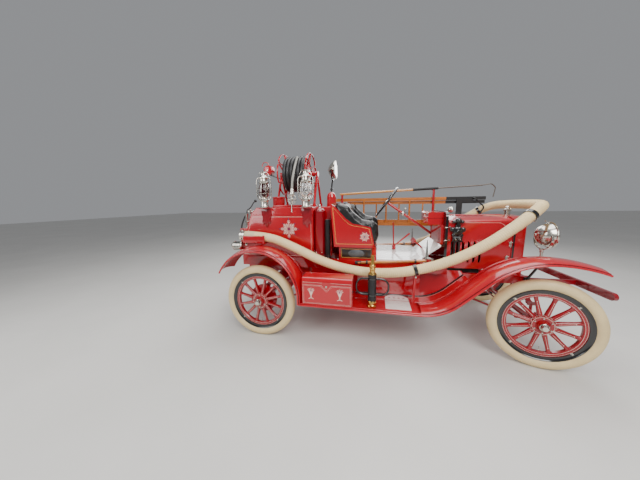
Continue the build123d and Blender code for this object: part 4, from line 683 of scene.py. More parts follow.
class MakeSuctionHose(bpy.types.Operator):
    """Makes the ribbed suction hose that is stowed round the hood, with its smooth cuffs"""
    bl_idname = "fire_engine.suction_hose"
    bl_label = "Suction Hose"

    def execute(self, context):
        sizes = context.scene.fire_engine_sizes
        pitch = sizes.rib_pitch
        route = HOSE_HALF + [(x, -y, z) for x, y, z in reversed(HOSE_HALF)]
        line = even_steps(nurbs_line("suction_hose_line", route), pitch / 5)
        total = line_length(line)
        form = Form()

        def size(t):
            along = t * total
            edge = min(along, total - along)
            if edge < HOSE_CUFF:
                return 1.0 if edge < HOSE_CUFF - HOSE_CUFF_STEP else 0.965
            wave = cos(tau * along / pitch)
            depth = sizes.rib_depth / (HOSE_R * MM)
            return 1.0 - depth * (0.5 - 0.5 * max(-1.0, min(1.0, 1.7 * wave)))

        form.sweep([from_axle(p) for p in line], round_section(HOSE_R, HOSE_SIDES), scale=size)
        strips = len(line) - 1
        for i in range(strips):
            if min(i, strips - i) * total / strips < HOSE_CUFF:
                form.parts[i * HOSE_SIDES:(i + 1) * HOSE_SIDES] = [1] * HOSE_SIDES
        hose = build(form, "ribbed_suction_hose", ["hose", "hose_end"], ("suction_hose",), 60)
        line[::5] + [line[-1]]
        return {"FINISHED"}


class MakeReelLead(bpy.types.Operator):
    """Makes the lead hose that hangs from the reel, grey as painted highlight on the black hose's last turn,
    with its nickel nozzle and ring
    """
    bl_idname = "fire_engine.reel_lead"
    bl_label = "Reel Lead and Nozzle"

    def execute(self, context):
        line = even_steps(nurbs_line("reel_lead_line", LEAD_ROUTE), 0.006)
        form = Form()
        form.tube([from_axle(p) for p in line], LEAD_R, 16)
        # The lead is the black hose's last turn; its grey is painted highlight.
        lead = build(form, "lead_hose_grey_as_painted_highlight", ["lead_painted_highlight"], ("reel_lead",), 60)
        top = Vector(LEAD_ROUTE[-1])
        down = Vector((0, -8, -64)).normalized()
        nozzle = Form()
        nozzle.lathe([(0, -10), (15, -10), (17, -6), (17, 4), (19, 6), (19, 14), (17, 16), (17, 24), (22, 30),
                (24, 34), (24, 58), (22, 62), (15, 70), (13, 92), (15, 96), (15, 104), (13, 108), (14, 128),
                (12, 132), (10, 136), (8, 150), (6.5, 226), (9, 230), (9, 238), (7, 240), (5, 240),
                (4.5, 200), (0, 200)], top, down, 32)
        collar = top + down * 104
        nozzle.ring(collar, 46, 4.5, (0, 1, -0.12), 40, 10)
        nozzle.tube([collar + Vector((-44, 0, 0)), collar + Vector((44, 0, 0))], 5.5, 10)
        build(nozzle, "nickel_nozzle", ["nickel"], ("reel_nozzle",), 30)
        line_length(line)
        return {"FINISHED"}


def wheel_matrix(x, side, steered):
    """The wheel's own frame: X forward, Z outward from the middle of the tyre."""
    hub = Matrix(((1, 0, 0, x), (0, 0, side, side * TRACK_HALF), (0, -side, 0, WHEEL_R), (0, 0, 0, 1)))
    if not steered:
        return hub
    pin = Vector((WHEELBASE, side * KINGPIN_Y, 0))
    return Matrix.Translation(pin) @ Matrix.Rotation(STEER_REST, 4, "Z") @ Matrix.Translation(-pin) @ hub


def spoke(form, angle):
    """A tapering oval spoke with a striped front and a dot at the stripe's end."""
    stations = [(52, 13.5, 21), (74, 17.5, 21), (96, 18.5, 20), (125, 17, 18.5), (160, 15, 16.5),
            (196, 14, 15.5), (222, 14.5, 15.5), (236, 17, 16), (242, 18, 17)]
    ray, across = outward(angle), Vector((-sin(angle), cos(angle), 0))
    rows = []
    for radius, width, depth in stations:
        row = []
        for turn in bearings(16):
            c, s = cos(turn), sin(turn)
            row.append(ray * radius + across * width * copysign(abs(c) ** 0.8, c)
                       + Vector(UP) * depth * copysign(abs(s) ** 0.8, s))
        rows.append(row)
    form.use(0).grid(rows, True)
    crest = [ray * radius + Vector((0, 0, depth + 0.1)) for radius, width, depth in stations[2:6]]
    form.use(3).stripe(curve_through(crest, 4), UP, 1.5, 0.6)
    form.lathe([(3.2, 0), (3.2, 0.6), (0, 0.7)], crest[-1] + ray * 4, UP, 12)


def wheel_shapes(form):
    face = 19.0
    form.use(0).lathe([(237, -13), (242, -face), (272, -face), (272, face), (242, face), (237, 13)],
            steps=96, closed=True)
    for angle in bearings(12, 0.5):
        spoke(form, angle)
    form.use(1).lathe([(270, -25), (286, -25), (294, -29), (299, -33), (303, -33), (305, -30), (302, -27),
            (294, -24), (290, -21), (290, 21), (294, 24), (302, 27), (305, 30), (303, 33), (299, 33),
            (294, 29), (286, 25), (270, 25)], steps=96, closed=True)
    form.use(3)
    for radius in (247, 264):
        form.lathe([(radius, face - 0.1), (radius, face + 0.6), (radius + 1.4, face + 0.6),
                (radius + 1.4, face - 0.1)], steps=96, closed=True)
    form.use(0).lathe([(0, -58), (30, -58), (34, -54), (34, -24), (72, -24), (76, -21), (76, 21), (72, 27),
            (50, 28), (47, 31), (44, 42), (40, 48), (33, 58), (0, 58)], steps=64)
    form.use(3).lathe([(70, 27.2), (70, 28), (72, 28), (72, 26.8)], steps=64, closed=True)
    for angle in bearings(12):
        arc = [Vector((cos(angle + a) * (82 + 5 * cos(a * 12)), sin(angle + a) * (82 + 5 * cos(a * 12)),
                21.4)) for a in [(k / 8 - 0.5) * tau / 12 for k in range(9)]]
        form.use(3).stripe(arc, UP, 1.2, 0.5)
    form.use(2)
    for angle in bearings(6, 0.5):
        form.bolt((61 * cos(angle), 61 * sin(angle), 27.4), UP, 6.5, 6)
        form.bolt((61 * cos(angle), 61 * sin(angle), -24), (0, 0, -1), 6.5, 6)
    form.lathe([(31, 56), (33, 60), (31, 64), (27, 66)], steps=48)
    form.lathe([(27, 64), (28, 68), (28, 84), (24, 88), (21, 92), (10, 93), (0, 93)], steps=6)
    for angle in bearings(4, 0.5):
        ray, across = outward(angle), Vector((-sin(angle), cos(angle), 0))
        outline = [ray * 264 + across * 9, ray * 288 + across * 13, ray * 288 - across * 13,
                ray * 264 - across * 9]
        form.extrude([p + Vector((0, 0, 19)) for p in outline], UP, 6, 1.5)
        form.bolt(ray * 275 + Vector((0, 0, 25)), UP, 6, 5)
    form.lathe([(4.5, 0), (4.5, 12), (3, 14), (3, 30), (4, 31), (4, 38), (0, 39)], (0, -236, 0), LEFT, 12)


class MakeWheels(bpy.types.Operator):
    """Makes the four spoked wheels with their stripes, lugs and hub caps, and the cream tyres"""
    bl_idname = "fire_engine.wheels"
    bl_label = "Wheels and Tyres"

    def execute(self, context):
        for end, x, steered in (("front", WHEELBASE, True), ("rear", 0.0, False)):
            for name, side in (("left", 1), ("right", -1)):
                matrix = wheel_matrix(x, side, steered)
                body = f"{end}_{name}_wheel"
                form = Form(matrix)
                wheel_shapes(form)
                build(form, f"spoked_wheel_{end}_{name}", ["wheel_red", "black", "nickel", "cream_line"],
                      (f"wheel_{end}_{name}",), 30, body)
                tyre = Form(matrix)
                profile = []
                for angle in bearings(52):
                    radius = 44.5 - 1.3 * exp(-((abs(abs(angle - pi) - 2.15)) / 0.05) ** 2)
                    flat = 1.0 - 0.012 * cos(angle) ** 8
                    profile.append((336.5 + radius * cos(angle) * flat, radius * sin(angle)))
                tyre.lathe(profile, steps=112, closed=True)
                build(tyre, f"cream_tyre_{end}_{name}", ["tyre"],
                        (f"tyre_{end}_{name}",), 50, body)
        return {"FINISHED"}


REEL_REAR, REEL_FRONT, REEL_R, REEL_Z = 88.0, 344.0, 215.0, 1738.0


class MakeReel(bpy.types.Operator):
    """Makes the reel: bent-bar flanges, drum, hubs and the layers of black hose"""
    bl_idname = "fire_engine.reel"
    bl_label = "Hose Reel"

    def execute(self, context):
        turns = context.scene.fire_engine_sizes.coil_turns
        centre = Vector((0, 0, REEL_Z))
        spool = Form()
        spool.lathe([(0, 0), (28, 0), (28, 60), (70, 62), (70, 330), (28, 332), (28, 422), (0, 422)],
                    (20, 0, REEL_Z), AHEAD, 40)
        section = [(-2.6, -8), (-1.2, -9), (1.2, -9), (2.6, -8), (2.6, 8), (1.2, 9), (-1.2, 9), (-2.6, 8)]
        for x, flare in ((REEL_REAR - 6, -1), (REEL_FRONT + 6, 1)):
            spool.lathe([(0, -5), (84, -5), (88, -3), (88, 3), (84, 5), (60, 5), (56, 14), (34, 16), (30, 22),
                    (0, 22)], (x, 0, REEL_Z), (flare, 0, 0), 40)
            for number in range(6):
                spool.sweep([centre + p for p in petal(x, flare, tau * number / 6)], section, normals=AHEAD)
                angle = tau * (number + 0.5) / 6
                spool.bolt((x + flare * 5, 74 * cos(angle), REEL_Z + 74 * sin(angle)), (flare, 0, 0), 6, 6)
        build(spool, "bent_bar_reel", ["red"], ("reel_spool",), 30, "reel")
        chance = random.Random(7)
        coil = Form()
        bore = (REEL_FRONT - REEL_REAR) / turns
        for layer in range(3):
            reach = REEL_R - bore / 2 - layer * bore * 0.97
            path, wander = [], 0.0
            for step in range(turns * 56):
                angle = tau * step / 56
                wander = 0.9 * wander + chance.uniform(-0.5, 0.5)
                turn = step / 56
                across = REEL_REAR + bore / 2 + bore * min(turns - 1.0, floor(turn)
                        + smooth((turn % 1.0 - 0.7) / 0.3))
                if layer % 2:
                    across = REEL_REAR + REEL_FRONT - across
                away = reach + wander
                path.append((across, away * cos(angle + 0.9), REEL_Z + away * sin(angle + 0.9)))
            coil.tube(path, bore * 0.497, 14)
        build(coil, "wound_black_hose", ["rubber"], ("reel_hose",), 60, "reel")
        return {"FINISHED"}


def smooth(t):
    t = max(0.0, min(1.0, t))
    return t * t * (3 - 2 * t)


def petal(x, flare, angle):
    """The line of one flat-bar loop about the reel's axis, flaring outward with its radius."""
    line = []
    for k in range(33):
        swing = k / 16 - 1
        away = abs(swing)
        reach = 1 - away ** 2.6
        radius = 62 + 186 * reach
        turn = angle + copysign(0.43 * sin(pi * away ** 0.8) + 0.12 * away, swing)
        line.append(Vector((x + flare * 34 * reach ** 1.6, radius * cos(turn), radius * sin(turn))))
    return line


def leaf(form, centre, along, normal, length, width, lift):
    """A painted leaf: a thin pointed oval on a flat panel."""
    centre, along, normal = Vector(centre), Vector(along).normalized(), Vector(normal).normalized()
    across = along.cross(normal)
    outline = []
    for turn in bearings(20):
        half = abs(sin(turn)) ** 1.2 * width / 2
        outline.append(centre + along * (0.5 + 0.5 * cos(turn)) * length + across * copysign(half, sin(turn)))
    form.add([p + normal * lift for p in outline], [tuple(range(20))])


def star(form, centre, along, normal, reach, points, part, tip):
    """A generic star of thin forked leaves, wider than it is high, for a painted panel."""
    centre, along, normal = Vector(centre), Vector(along).normalized(), Vector(normal).normalized()
    across = along.cross(normal)
    for number in range(2 * points):
        angle = pi * number / points
        ray = (along * cos(angle) + across * sin(angle) * 1.16).normalized()
        side = ray.cross(normal)
        long = reach * (1.0, 0.62, 0.84, 0.62)[number % 4]
        form.use(part)
        leaf(form, centre + ray * reach * 0.14, ray, normal, long * 0.72, reach * 0.075, 0.6)
        for lean in (-1, 1):
            leaf(form, centre + ray * long * 0.5, ray + side * lean * 0.75, normal,
                    long * 0.26, reach * 0.045, 0.6)
            leaf(form, centre + ray * long * 0.68, ray + side * lean * 0.9, normal,
                    long * 0.17, reach * 0.035, 0.6)
        if number % 2 == 0:
            form.use(tip)
            leaf(form, centre + ray * long * 0.8, ray, normal, long * 0.22, reach * 0.075, 0.8)
    form.use(tip)
    for number in range(4):
        angle = pi * (number + 0.5) / 2
        leaf(form, centre, along * cos(angle) + across * sin(angle), normal, reach * 0.2, reach * 0.06, 1.0)


TANK_HALF = 430
LANTERN_X = (-22.0, 450.0)


class MakeTank(bpy.types.Operator):
    """Makes the tank with its seam, hatch, filler neck, painted star and lantern brackets, and under each
    lantern a wavy dark red plate that is painted reflection of the lantern
    """
    bl_idname = "fire_engine.tank"
    bl_label = "Tank"

    def execute(self, context):
        form = Form()
        outline = [(-371, 800), (-371, 1109), (-285, 1109), (-217, 1277), (-150, 1348), (510, 1348),
                (510, 800), (420, 745), (-250, 745)]
        form.extrude([(x, -TANK_HALF, z) for x, z in outline], LEFT, 2 * TANK_HALF, 9, 3)
        form.block((506, -300, 797), (694, 300, 1348), 9, 3)
        form.block((46, -410, 1344), (385, 410, 1372), 6, 3)
        form.lathe([(0, -4), (71, -4), (71, 40), (72, 41), (72, 47), (71, 48), (71, 102), (77, 104),
                (77, 114), (72, 118), (40, 121), (0, 122)], (55, -250, 1347), UP, 48)
        form.lathe([(76, -1), (84, -1), (84, 5), (76, 7)], (55, -250, 1347), UP, 48, True)
        both_sides(form, tank_side)
        for x in LANTERN_X:
            # The wavy dark red plate under each lantern is painted reflection of the lantern in the tank's
            # gloss; the flat block above it is the lantern's bracket.
            form.use(1)
            wave = [(-58, 1348), (58, 1348), (54, 1316), (58, 1262), (44, 1222), (50, 1188), (34, 1168),
                    (24, 1182), (6, 1128), (-14, 1148), (-26, 1176), (-40, 1160), (-52, 1196),
                    (-46, 1236), (-58, 1290)]
            outline = curve_through([(x + dx, -444, z) for dx, z in wave[2:]], 3)
            form.extrude([(x - 58, -444, 1348), (x + 58, -444, 1348)] + outline, LEFT, 13.5, 3)
            form.block((x - 55, -508, 1336), (x + 55, -429, 1349), 3)
        build(form, "tank_shell", ["red", "dark_red", "cream_line", "blue_line"],
              ("tank_body",), 32)
        return {"FINISHED"}


def tank_side(form):
    form.use(0)
    seam = [(-200, -430.4, 1266), (508, -430.4, 1266)]
    form.stripe(seam, RIGHT, 5, 1.6)
    for number in range(18):
        form.lathe([(4, 0), (3.4, 1.6), (2, 2.4), (0, 2.7)], (-190 + number * 41, -430, 1276), RIGHT, 10)
    star(form, (235, -430.5, 1111), UP, RIGHT, 118, 8, 2, 3)
    form.use(2)
    line = [(-340, 1075), (-262, 1083), (-196, 1244), (488, 1244), (488, 812), (-340, 812)]
    form.stripe([(x, -430.3, z) for x, z in line + line[:1]], RIGHT, 3.5)


class MakeLanterns(bpy.types.Operator):
    """Makes the two nickel hand lanterns with glass globes, wire cages and bails"""
    bl_idname = "fire_engine.lanterns"
    bl_label = "Lanterns"

    def execute(self, context):
        form = Form()
        for glazing, x in enumerate(LANTERN_X, 1):
            foot = Vector((x, -468, 1350))
            form.use(0)
            form.lathe([(0, 0), (50, 0), (52, 4), (52, 9), (44, 13), (40, 22), (40, 62), (44, 68), (46, 74),
                    (46, 84), (42, 90), (34, 94), (30, 104), (36, 108), (38, 112), (30, 116),
                    (0, 116)], foot, UP, 40)
            form.lathe([(30, 250), (40, 250), (54, 256), (56, 262), (56, 270), (50, 276), (42, 282),
                    (40, 300), (46, 304), (52, 310), (50, 320), (34, 336), (28, 344), (27, 362), (34, 366),
                    (30, 376), (14, 384), (0, 386)], foot, UP, 40)
            form.lathe([(7, 110), (7, 140), (12, 144), (12, 150), (4, 158), (0, 160)], foot, UP, 20)
            for z in (150, 206):
                form.ring(foot + Vector((0, 0, z)), 62, 2.2, UP, 36, 8)
            for angle in bearings(8):
                out = outward(angle)
                wire = [foot + out * r + Vector((0, 0, z)) for r, z in ((40, 88), (58, 112), (63, 150),
                        (63, 206), (52, 254))]
                form.tube(curve_through(wire, 4), 1.8, 6)
            for side in (-1, 1):
                tube = [foot + Vector((side * dx, 0, z)) for dx, z in ((38, 80), (66, 92), (80, 122),
                        (84, 200), (80, 286), (64, 314), (38, 318))]
                form.tube(curve_through(tube, 5), 5.5, 12)
            bail = circle_points(foot + Vector((0, 0, 318)), 66, LEFT, 20, 0.2, pi - 0.4)
            form.tube([Vector((p.x, p.y, max(p.z, foot.z + 318))) for p in bail], 2.2, 8)
            form.use(glazing)
            form.lathe([(35, 112), (45, 122), (55, 142), (58, 166), (56, 196), (49, 224), (38, 252),
                    (36, 252), (46, 224), (53, 196), (55, 166), (52, 142), (43, 124),
                    (33, 114)], foot, UP, 40, True)
        build(form, "nickel_lanterns", ["nickel", "ruby_glass", "clear_glass"], ("lanterns",), 30)
        return {"FINISHED"}


class MakeHeadlamps(bpy.types.Operator):
    """Makes the nickel headlamps with their bowls, lenses, forks and feet"""
    bl_idname = "fire_engine.headlamps"
    bl_label = "Headlamps"

    def execute(self, context):
        form = both_sides(Form(), headlamp_shapes)
        build(form, "nickel_headlamps", ["nickel", "clear_glass", "black"], ("headlamps",), 30)
        return {"FINISHED"}


def headlamp_shapes(form):
    back = Vector((2562, -400, 1082))
    form.use(0)
    form.lathe([(r, 0.78 * h) for r, h in ((0, -6), (9, -5), (12, 0), (24, 3), (48, 14), (74, 38), (92, 70),
            (101, 104), (105, 122), (112, 125), (116, 131), (116, 141), (112, 147), (104, 147), (103, 138),
            (97, 104), (86, 66), (66, 38), (40, 20), (14, 12), (0, 12))], back, AHEAD, 56)
    form.lathe([(0, 12), (14, 16), (18, 44), (12, 60), (0, 62)], back, AHEAD, 20)
    form.use(1)
    form.lathe([(105, 107), (80, 114), (50, 118), (0, 120), (0, 117), (50, 115), (80, 111), (104, 104)], back,
               AHEAD, 48)
    form.use(0)
    form.tube(curve_through([(2625, -400, 1200), (2625, -400, 1204), (2625, -396, 1206)], 3), 6, 10)
    fork = [(2625, -400 + y, z) for y, z in ((112, 1082), (118, 1040), (96, 990), (50, 962), (0, 954),
            (-50, 962), (-96, 990), (-118, 1040), (-112, 1082))]
    fork = curve_through(fork, 5)
    form.sweep(fork, [(-9, -3), (9, -3), (9, 3), (-9, 3)],
               normals=[Vector((0, p.y + 400, p.z - 1060)).normalized() for p in fork])
    form.lathe([(16, 0), (16, 10), (11, 14), (11, 90), (15, 96), (15, 116), (20, 120), (20, 128), (0, 134)],
               (2625, -400, 828), UP, 24)
    form.use(2)
    form.tube(curve_through([(2625, -400, 838), (2624, -399, 812), (2600, -380, 740), (2568, -362, 668),
            (2562, -358, 651)], 5), 11, 12)
    form.block((2540, -370, 629), (2582, -340.5, 671), 4)
    for z in (640, 660):
        form.bolt((2561, -370, z), RIGHT, 7, 6)


class MakeSeat(bpy.types.Operator):
    """Stuffs the black leather cushion, back and side rolls, and draws their folds and seams"""
    bl_idname = "fire_engine.seat"
    bl_label = "Leather Seat"

    def execute(self, context):
        sizes = context.scene.fire_engine_sizes
        cushion = Form().block((858, -352, 952), (1200, 352, 1084), 42, 4)
        pad = stuffed(cushion, "seat_cushion", sizes, 0.0095, [(LEFT, 0.0, 11, 9), (AHEAD, 1030, 10, 8)])
        back = [(776, 1060), (872, 1080), (884, 1180), (858, 1290), (826, 1368), (786, 1392), (738, 1384),
                (742, 1330), (762, 1200)]
        back_form = Form().extrude([(x, -352, z) for x, z in back], LEFT, 704, 22, 3)
        stuffed(back_form, "seat_back", sizes, 0.0095,
                [(LEFT, y, 9, 17) for y in (-264, -176, -88, 0, 88, 176, 264)])
        for name, side in (("right", -1), ("left", 1)):
            arm = Form()
            arm.extrude([(x, side * 433, z) for x, z in ARM_ROLL], (0, -side, 0), 74, 24, 3)
            stuffed(arm, "arm_roll_" + name, sizes, 0.0085,
                    [((1, 0, -0.35), 620 + 74 * k, 8, 13) for k in range(1, 6)])
        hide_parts("seat_upholstery")
        return {"FINISHED"}


ARM_ROLL = [(790, 972), (1192, 972), (1212, 1042), (1210, 1164), (1158, 1208), (1046, 1236), (934, 1328),
        (884, 1380), (770, 1386), (738, 1366)]


def stuffed(form, name, sizes, voxel, channels):
    """Swells a closed form like a stuffed leather pad, then presses its seams and channels in."""
    piece = build(form, name, ["leather"], (), 180)
    remesh = piece.modifiers.new("skin", "REMESH")
    remesh.mode = "VOXEL"
    remesh.voxel_size = voxel
    take_modifiers(piece)
    rest = [vertex.co.copy() for vertex in piece.data.vertices]
    cloth = piece.modifiers.new("stuffing", "CLOTH")
    cloth.settings.quality = 5
    cloth.settings.mass = 0.3
    cloth.settings.use_pressure = True
    cloth.settings.uniform_pressure_force = sizes.stuffing
    cloth.settings.tension_stiffness = 30
    cloth.settings.compression_stiffness = 30
    cloth.settings.bending_stiffness = 0.8
    cloth.settings.effector_weights.gravity = 0
    scene = bpy.context.scene
    for frame in range(1, 21):
        scene.frame_set(frame)
    take_modifiers(piece)
    for vertex, start in zip(piece.data.vertices, rest):
        move = vertex.co - start
        if move.length > sizes.swell:
            vertex.co = start + move * (sizes.swell / move.length)
    scene.frame_set(1)
    piece.data.update()
    normals = [vertex.normal.copy() for vertex in piece.data.vertices]
    for vertex, normal in zip(piece.data.vertices, normals):
        point = from_axle(vertex.co)
        depth = 0.0
        for axis, offset, depth_here, width in channels:
            away = (point.dot(Vector(axis)) - offset) / width
            facing = 1 - abs(normal.dot(Vector(axis).normalized()))
            depth = max(depth, depth_here * exp(-away * away) * facing)
        vertex.co -= normal * depth * MM
    fine = piece.modifiers.new("fine", "SUBSURF")
    fine.levels = fine.render_levels = 1
    take_modifiers(piece)
    piece.data.shade_smooth()
    return piece


def take_modifiers(piece):
    """Applies every modifier of a piece to its mesh."""
    scene_graph = bpy.context.evaluated_depsgraph_get()
    mesh = bpy.data.meshes.new_from_object(piece.evaluated_get(scene_graph))
    piece.modifiers.clear()
    old, piece.data = piece.data, mesh
    bpy.data.meshes.remove(old)


RAMP_START, BOARD_TOP, BOARD_INNER = 1572.0, 425.0, 402.0
FENDER_OUTER, FENDER_INNER = 842.0, 566.0
FRONT_FENDER = ((RAMP_START, BOARD_TOP), 0.0, ((410, 43), (0, 330), (557, -43), (980, -20)))
FRONT_SKIRT = ((RAMP_START, BOARD_TOP), 0.0, ((410, 43), (0, 215)))
REAR_FENDER = ((455.0, BOARD_TOP), 90.0, ((0, 59), (447, 152)))
BEAD_IN, BEAD_UP = 21.0, 8.5
SIDE_STEP = 16.0


def side_line(route, y, offset=0.0):
    """A line in the side view: arcs as (radius, degrees), straights as (0, length), offset to its left."""
    (x, z), heading, runs = route
    angle = radians(heading)
    line, ups = [], []

    def mark():
        left = Vector((-sin(angle), 0, cos(angle)))
        line.append(Vector((x, y, z)) + left * offset)
        ups.append(left)

    mark()
    for radius, amount in runs:
        count = max(2, round((abs(radians(amount)) * radius if radius else amount) / SIDE_STEP))
        turn = radians(amount) / count if radius else 0.0
        stride = 2 * radius * sin(abs(turn) / 2) if radius else amount / count
        for _ in range(count):
            angle += turn / 2
            x += stride * cos(angle)
            z += stride * sin(angle)
            angle += turn / 2
            mark()
    return line, ups


class MakeBoards(bpy.types.Operator):
    """Makes each board's inner strip, apron and skirt, its pierced step plate and the hose's rear trough"""
    bl_idname = "fire_engine.boards"
    bl_label = "Board Strips and Step Plates"

    def execute(self, context):
        form = both_sides(Form(), board_strip)
        build(form, "board_strips_and_aprons", ["red"], ("splash_aprons",), 30)
        step = both_sides(Form(), step_plate)
        build(step, "pierced_step_plates", ["tread_plate"], (), 30)
        troughs = both_sides(Form(), hose_trough)
        build(troughs, "hose_troughs", ["red"], (), 30)
        return {"FINISHED"}


def ribbon(form, route, outer, inner, high, low):
    """A sheet along a side line, between two distances from the middle and two lifts; returns the line."""
    line, ups = side_line(route, 0.0)
    corners = ((outer, high), (inner, high), (inner, low), (outer, low))
    form.grid([[p + up * lift + Vector((0, -y, 0)) for y, lift in corners]
            for p, up in zip(line, ups)], True, True)
    return line


def board_strip(form):
    rear, front, top = 492.0, RAMP_START, BOARD_TOP + 0.4
    apron = [(-BOARD_INNER - 8, top - 5), (-BOARD_INNER, top - 5), (-446, 690), (-452, 690),
            (-BOARD_INNER - 6, top)]
    form.use(0).extrude([(rear, y, z) for y, z in apron], AHEAD, 1612 - rear, 1.0, 2)
    form.block((rear, -FENDER_INNER - 2, top - 5), (front, -BOARD_INNER - 5, top), 1.0)
    skirt = ribbon(form, FRONT_SKIRT, FENDER_INNER + 2, BOARD_INNER, 0.4, -3)
    rows = [[Vector(p) for p in ((point.x, -BOARD_INNER - 1, point.z), (point.x, -352, 704),
            (point.x, -347, 704), (point.x, -BOARD_INNER + 4, point.z))] for point in skirt if point.z < 692]
    form.grid(rows, True, True)
    seam = ((RAMP_START - 16, BOARD_TOP), 0.0, ((0, 16), (410, 3)))
    ribbon(form, seam, FENDER_OUTER - 30, FENDER_INNER, 0.6, -1)


def hose_trough(form):
    """The outer channel round the hose's rear trough, with its deeper front end."""
    for rear, front, half, low, high, wall in ((-200, 34, 56, 984, 1058, 3.5), (28, 48, 62, 978, 1066, 9.0)):
        channel = [(-half, low), (half, low), (half, high), (half - wall, high), (half - wall, low + wall),
                   (wall - half, low + wall), (wall - half, high), (-half, high)]
        form.use(0).extrude([(rear, y - 600, z) for y, z in channel], AHEAD, front - rear, 1.0, 2)


def step_plate(form):
    rear, front, inner, shoulder, outer = 1275.0, 1500.0, 414.0, 494.0, 760.0
    middle, half = (rear + front) / 2, (front - rear) / 2
    radius = (half ** 2 + (shoulder - inner) ** 2) / (2 * (shoulder - inner))
    reach = asin(half / radius)
    arch = [(middle + radius * sin(t), -(inner + radius) + radius * cos(t))
            for t in (reach * (1 - k / 12) for k in range(25))]
    loops = [[Vector((x, y, 0)) for x, y in [(rear, -outer), (front, -outer)] + arch]]
    for number in range(4):
        spot = Vector((middle + (number - 1.5) * 46, -shoulder, 0))
        loops.append([spot + Vector((13 * cos(a), -13 * sin(a), 0)) for a in bearings(20)])
    points = [p for loop in loops for p in loop]
    flat = tessellate_polygon(loops)
    low, high = BOARD_TOP + 0.5, BOARD_TOP + 5.0
    form.add([p + Vector((0, 0, high)) for p in points], flat)
    form.add([p + Vector((0, 0, low)) for p in points], [face[::-1] for face in flat])
    for loop in loops:
        form.grid([[p + Vector((0, 0, z)) for p in loop] for z in (low, high)], True)
    for k in range(26):
        x = rear + 14 + 7.9 * k
        form.block((x, -outer + 14, high - 0.5), (x + 3.4, -shoulder - 24, high + 1.4), 0.6, 1)


class MakeFenderTrim(bpy.types.Operator):
    """Rolls the second bead along each fender and board and a bead along each skirt, stripes the fenders, and
    lays black painted shade beside the beads and along the boards' inner edges and cream painted highlights
    on the skirts
    """
    bl_idname = "fire_engine.fender_trim"
    bl_label = "Fender Beads and Lines"

    def execute(self, context):
        form = Form()
        bead = context.scene.fire_engine_sizes.bead / MM
        both_sides(form, lambda drawn: fender_trim(drawn, bead))
        build(form, "fender_beads_painted_shade_and_highlights", ["red", "black_line", "cream_line"], (), 60)
        return {"FINISHED"}


def fender_trim(form, bead):
    outer = FENDER_OUTER - BEAD_IN
    front, _ = side_line(FRONT_FENDER, -outer, BEAD_UP)
    rear, _ = side_line(REAR_FENDER, -outer, -BEAD_UP)
    board = [Vector((x, -outer, BOARD_TOP + BEAD_UP - 4)) for x in (462, 760, 1060, 1360, RAMP_START)]
    form.use(0).tube(board + front[1:], bead, 10)
    form.tube(rear, bead, 10)
    # Thin black tubes on either side of each bead: painted shade in the grooves beside it.
    form.use(1)
    for y in (outer - bead - 2, outer + bead + 2):
        form.tube(side_line(FRONT_FENDER, -y, BEAD_UP - 1.5)[0], 2.6, 8)
        form.tube(side_line(REAR_FENDER, -y, 1.5 - BEAD_UP)[0], 2.6, 8)
    form.use(0)
    inner, _ = side_line(FRONT_FENDER, -FENDER_INNER, 2.0)
    form.tube([Vector((x, -FENDER_INNER, BOARD_TOP + 2)) for x in (972, 1260)] + inner, 5.0, 10)
    form.tube(side_line(REAR_FENDER, -FENDER_INNER, -2.0)[0], 5.0, 10)
    # Two cream lines on each skirt: painted highlights along its beads.
    for y in (BOARD_INNER + 28, FENDER_INNER - 14):
        line, ups = side_line(FRONT_SKIRT, -y)
        form.use(2).stripe([Vector((1512, -y, BOARD_TOP))] + line, [Vector(UP)] + ups, 3.0, 0.8)
    # A thick black tube along the board's inner edge and up the skirt: painted shade of the groove there.
    y = -BOARD_INNER - 9
    form.use(1).tube([Vector((x, y, BOARD_TOP + 4))
            for x in (972, 1230)] + side_line(FRONT_SKIRT, y, 4.0)[0], 7.5, 12)
    for route, side in ((FRONT_FENDER, 1), (REAR_FENDER, -1)):
        line, ups = side_line(route, 52 - FENDER_OUTER, side * 19.5)
        form.use(2).stripe(line[2:-1], [up * side + Vector((0, -0.25, 0)) for up in ups[2:-1]], 3.0, 0.9)


class MakeToolboxTrim(bpy.types.Operator):
    """Lines out the toolboxes and paints their two sheaf ornaments and the lids' fittings"""
    bl_idname = "fire_engine.toolbox_trim"
    bl_label = "Toolbox Lines and Ornaments"

    def execute(self, context):
        form = both_sides(Form(), toolbox_trim)
        build(form, "toolbox_lines", ["cream_line", "blue_line"], (), 40)
        for name, side in (("right", 1), ("left", -1)):
            lid = Form(Matrix.Diagonal((1, side, 1, 1)))
            lid.use(0).lathe([(9, 0), (9, 1.4), (6, 2.4), (0, 2.6)], (732.5, -818.5, 618), RIGHT, 20)
            lid.block((727, -823, 604), (738, -818.4, 622), 1.5)
            for x in (560, 905):
                lid.block((x - 16, -672, 699), (x + 16, -664, 703), 1.2)
                lid.bolt((x - 9, -668, 702.5), UP, 3, 2)
                lid.bolt((x + 9, -668, 702.5), UP, 3, 2)
            lid.use(1).stripe([(x, -815.2, 650) for x in (500, 965)], RIGHT, 1.6, 0.8)
            build(lid, "lid_fittings_" + name, ["nickel", "cream_line"], (), 30, "lid_" + name)
        return {"FINISHED"}


def toolbox_trim(form):
    face, out = -815.0, RIGHT
    for inset, width in ((0, 2.0), (9, 1.0)):
        low, high, notch = 440 + inset, 625 - inset, 48 + inset
        line = [(503 + inset, low), (962 - inset, low), (962 - inset, high), (732.5 + notch, high),
                (732.5, 574 - 1.4 * inset), (732.5 - notch, high), (503 + inset, high)]
        line.append(line[0])
        form.use(0).stripe([(x, face, z) for x, z in line], out, width, 0.8)
    for x in (583, 859):
        sheaf(form, (x, face, 546), out, 124)
    form.use(0).stripe([(972.2, -808, 440), (972.2, -808, 690)], AHEAD, 2.4, 0.7)


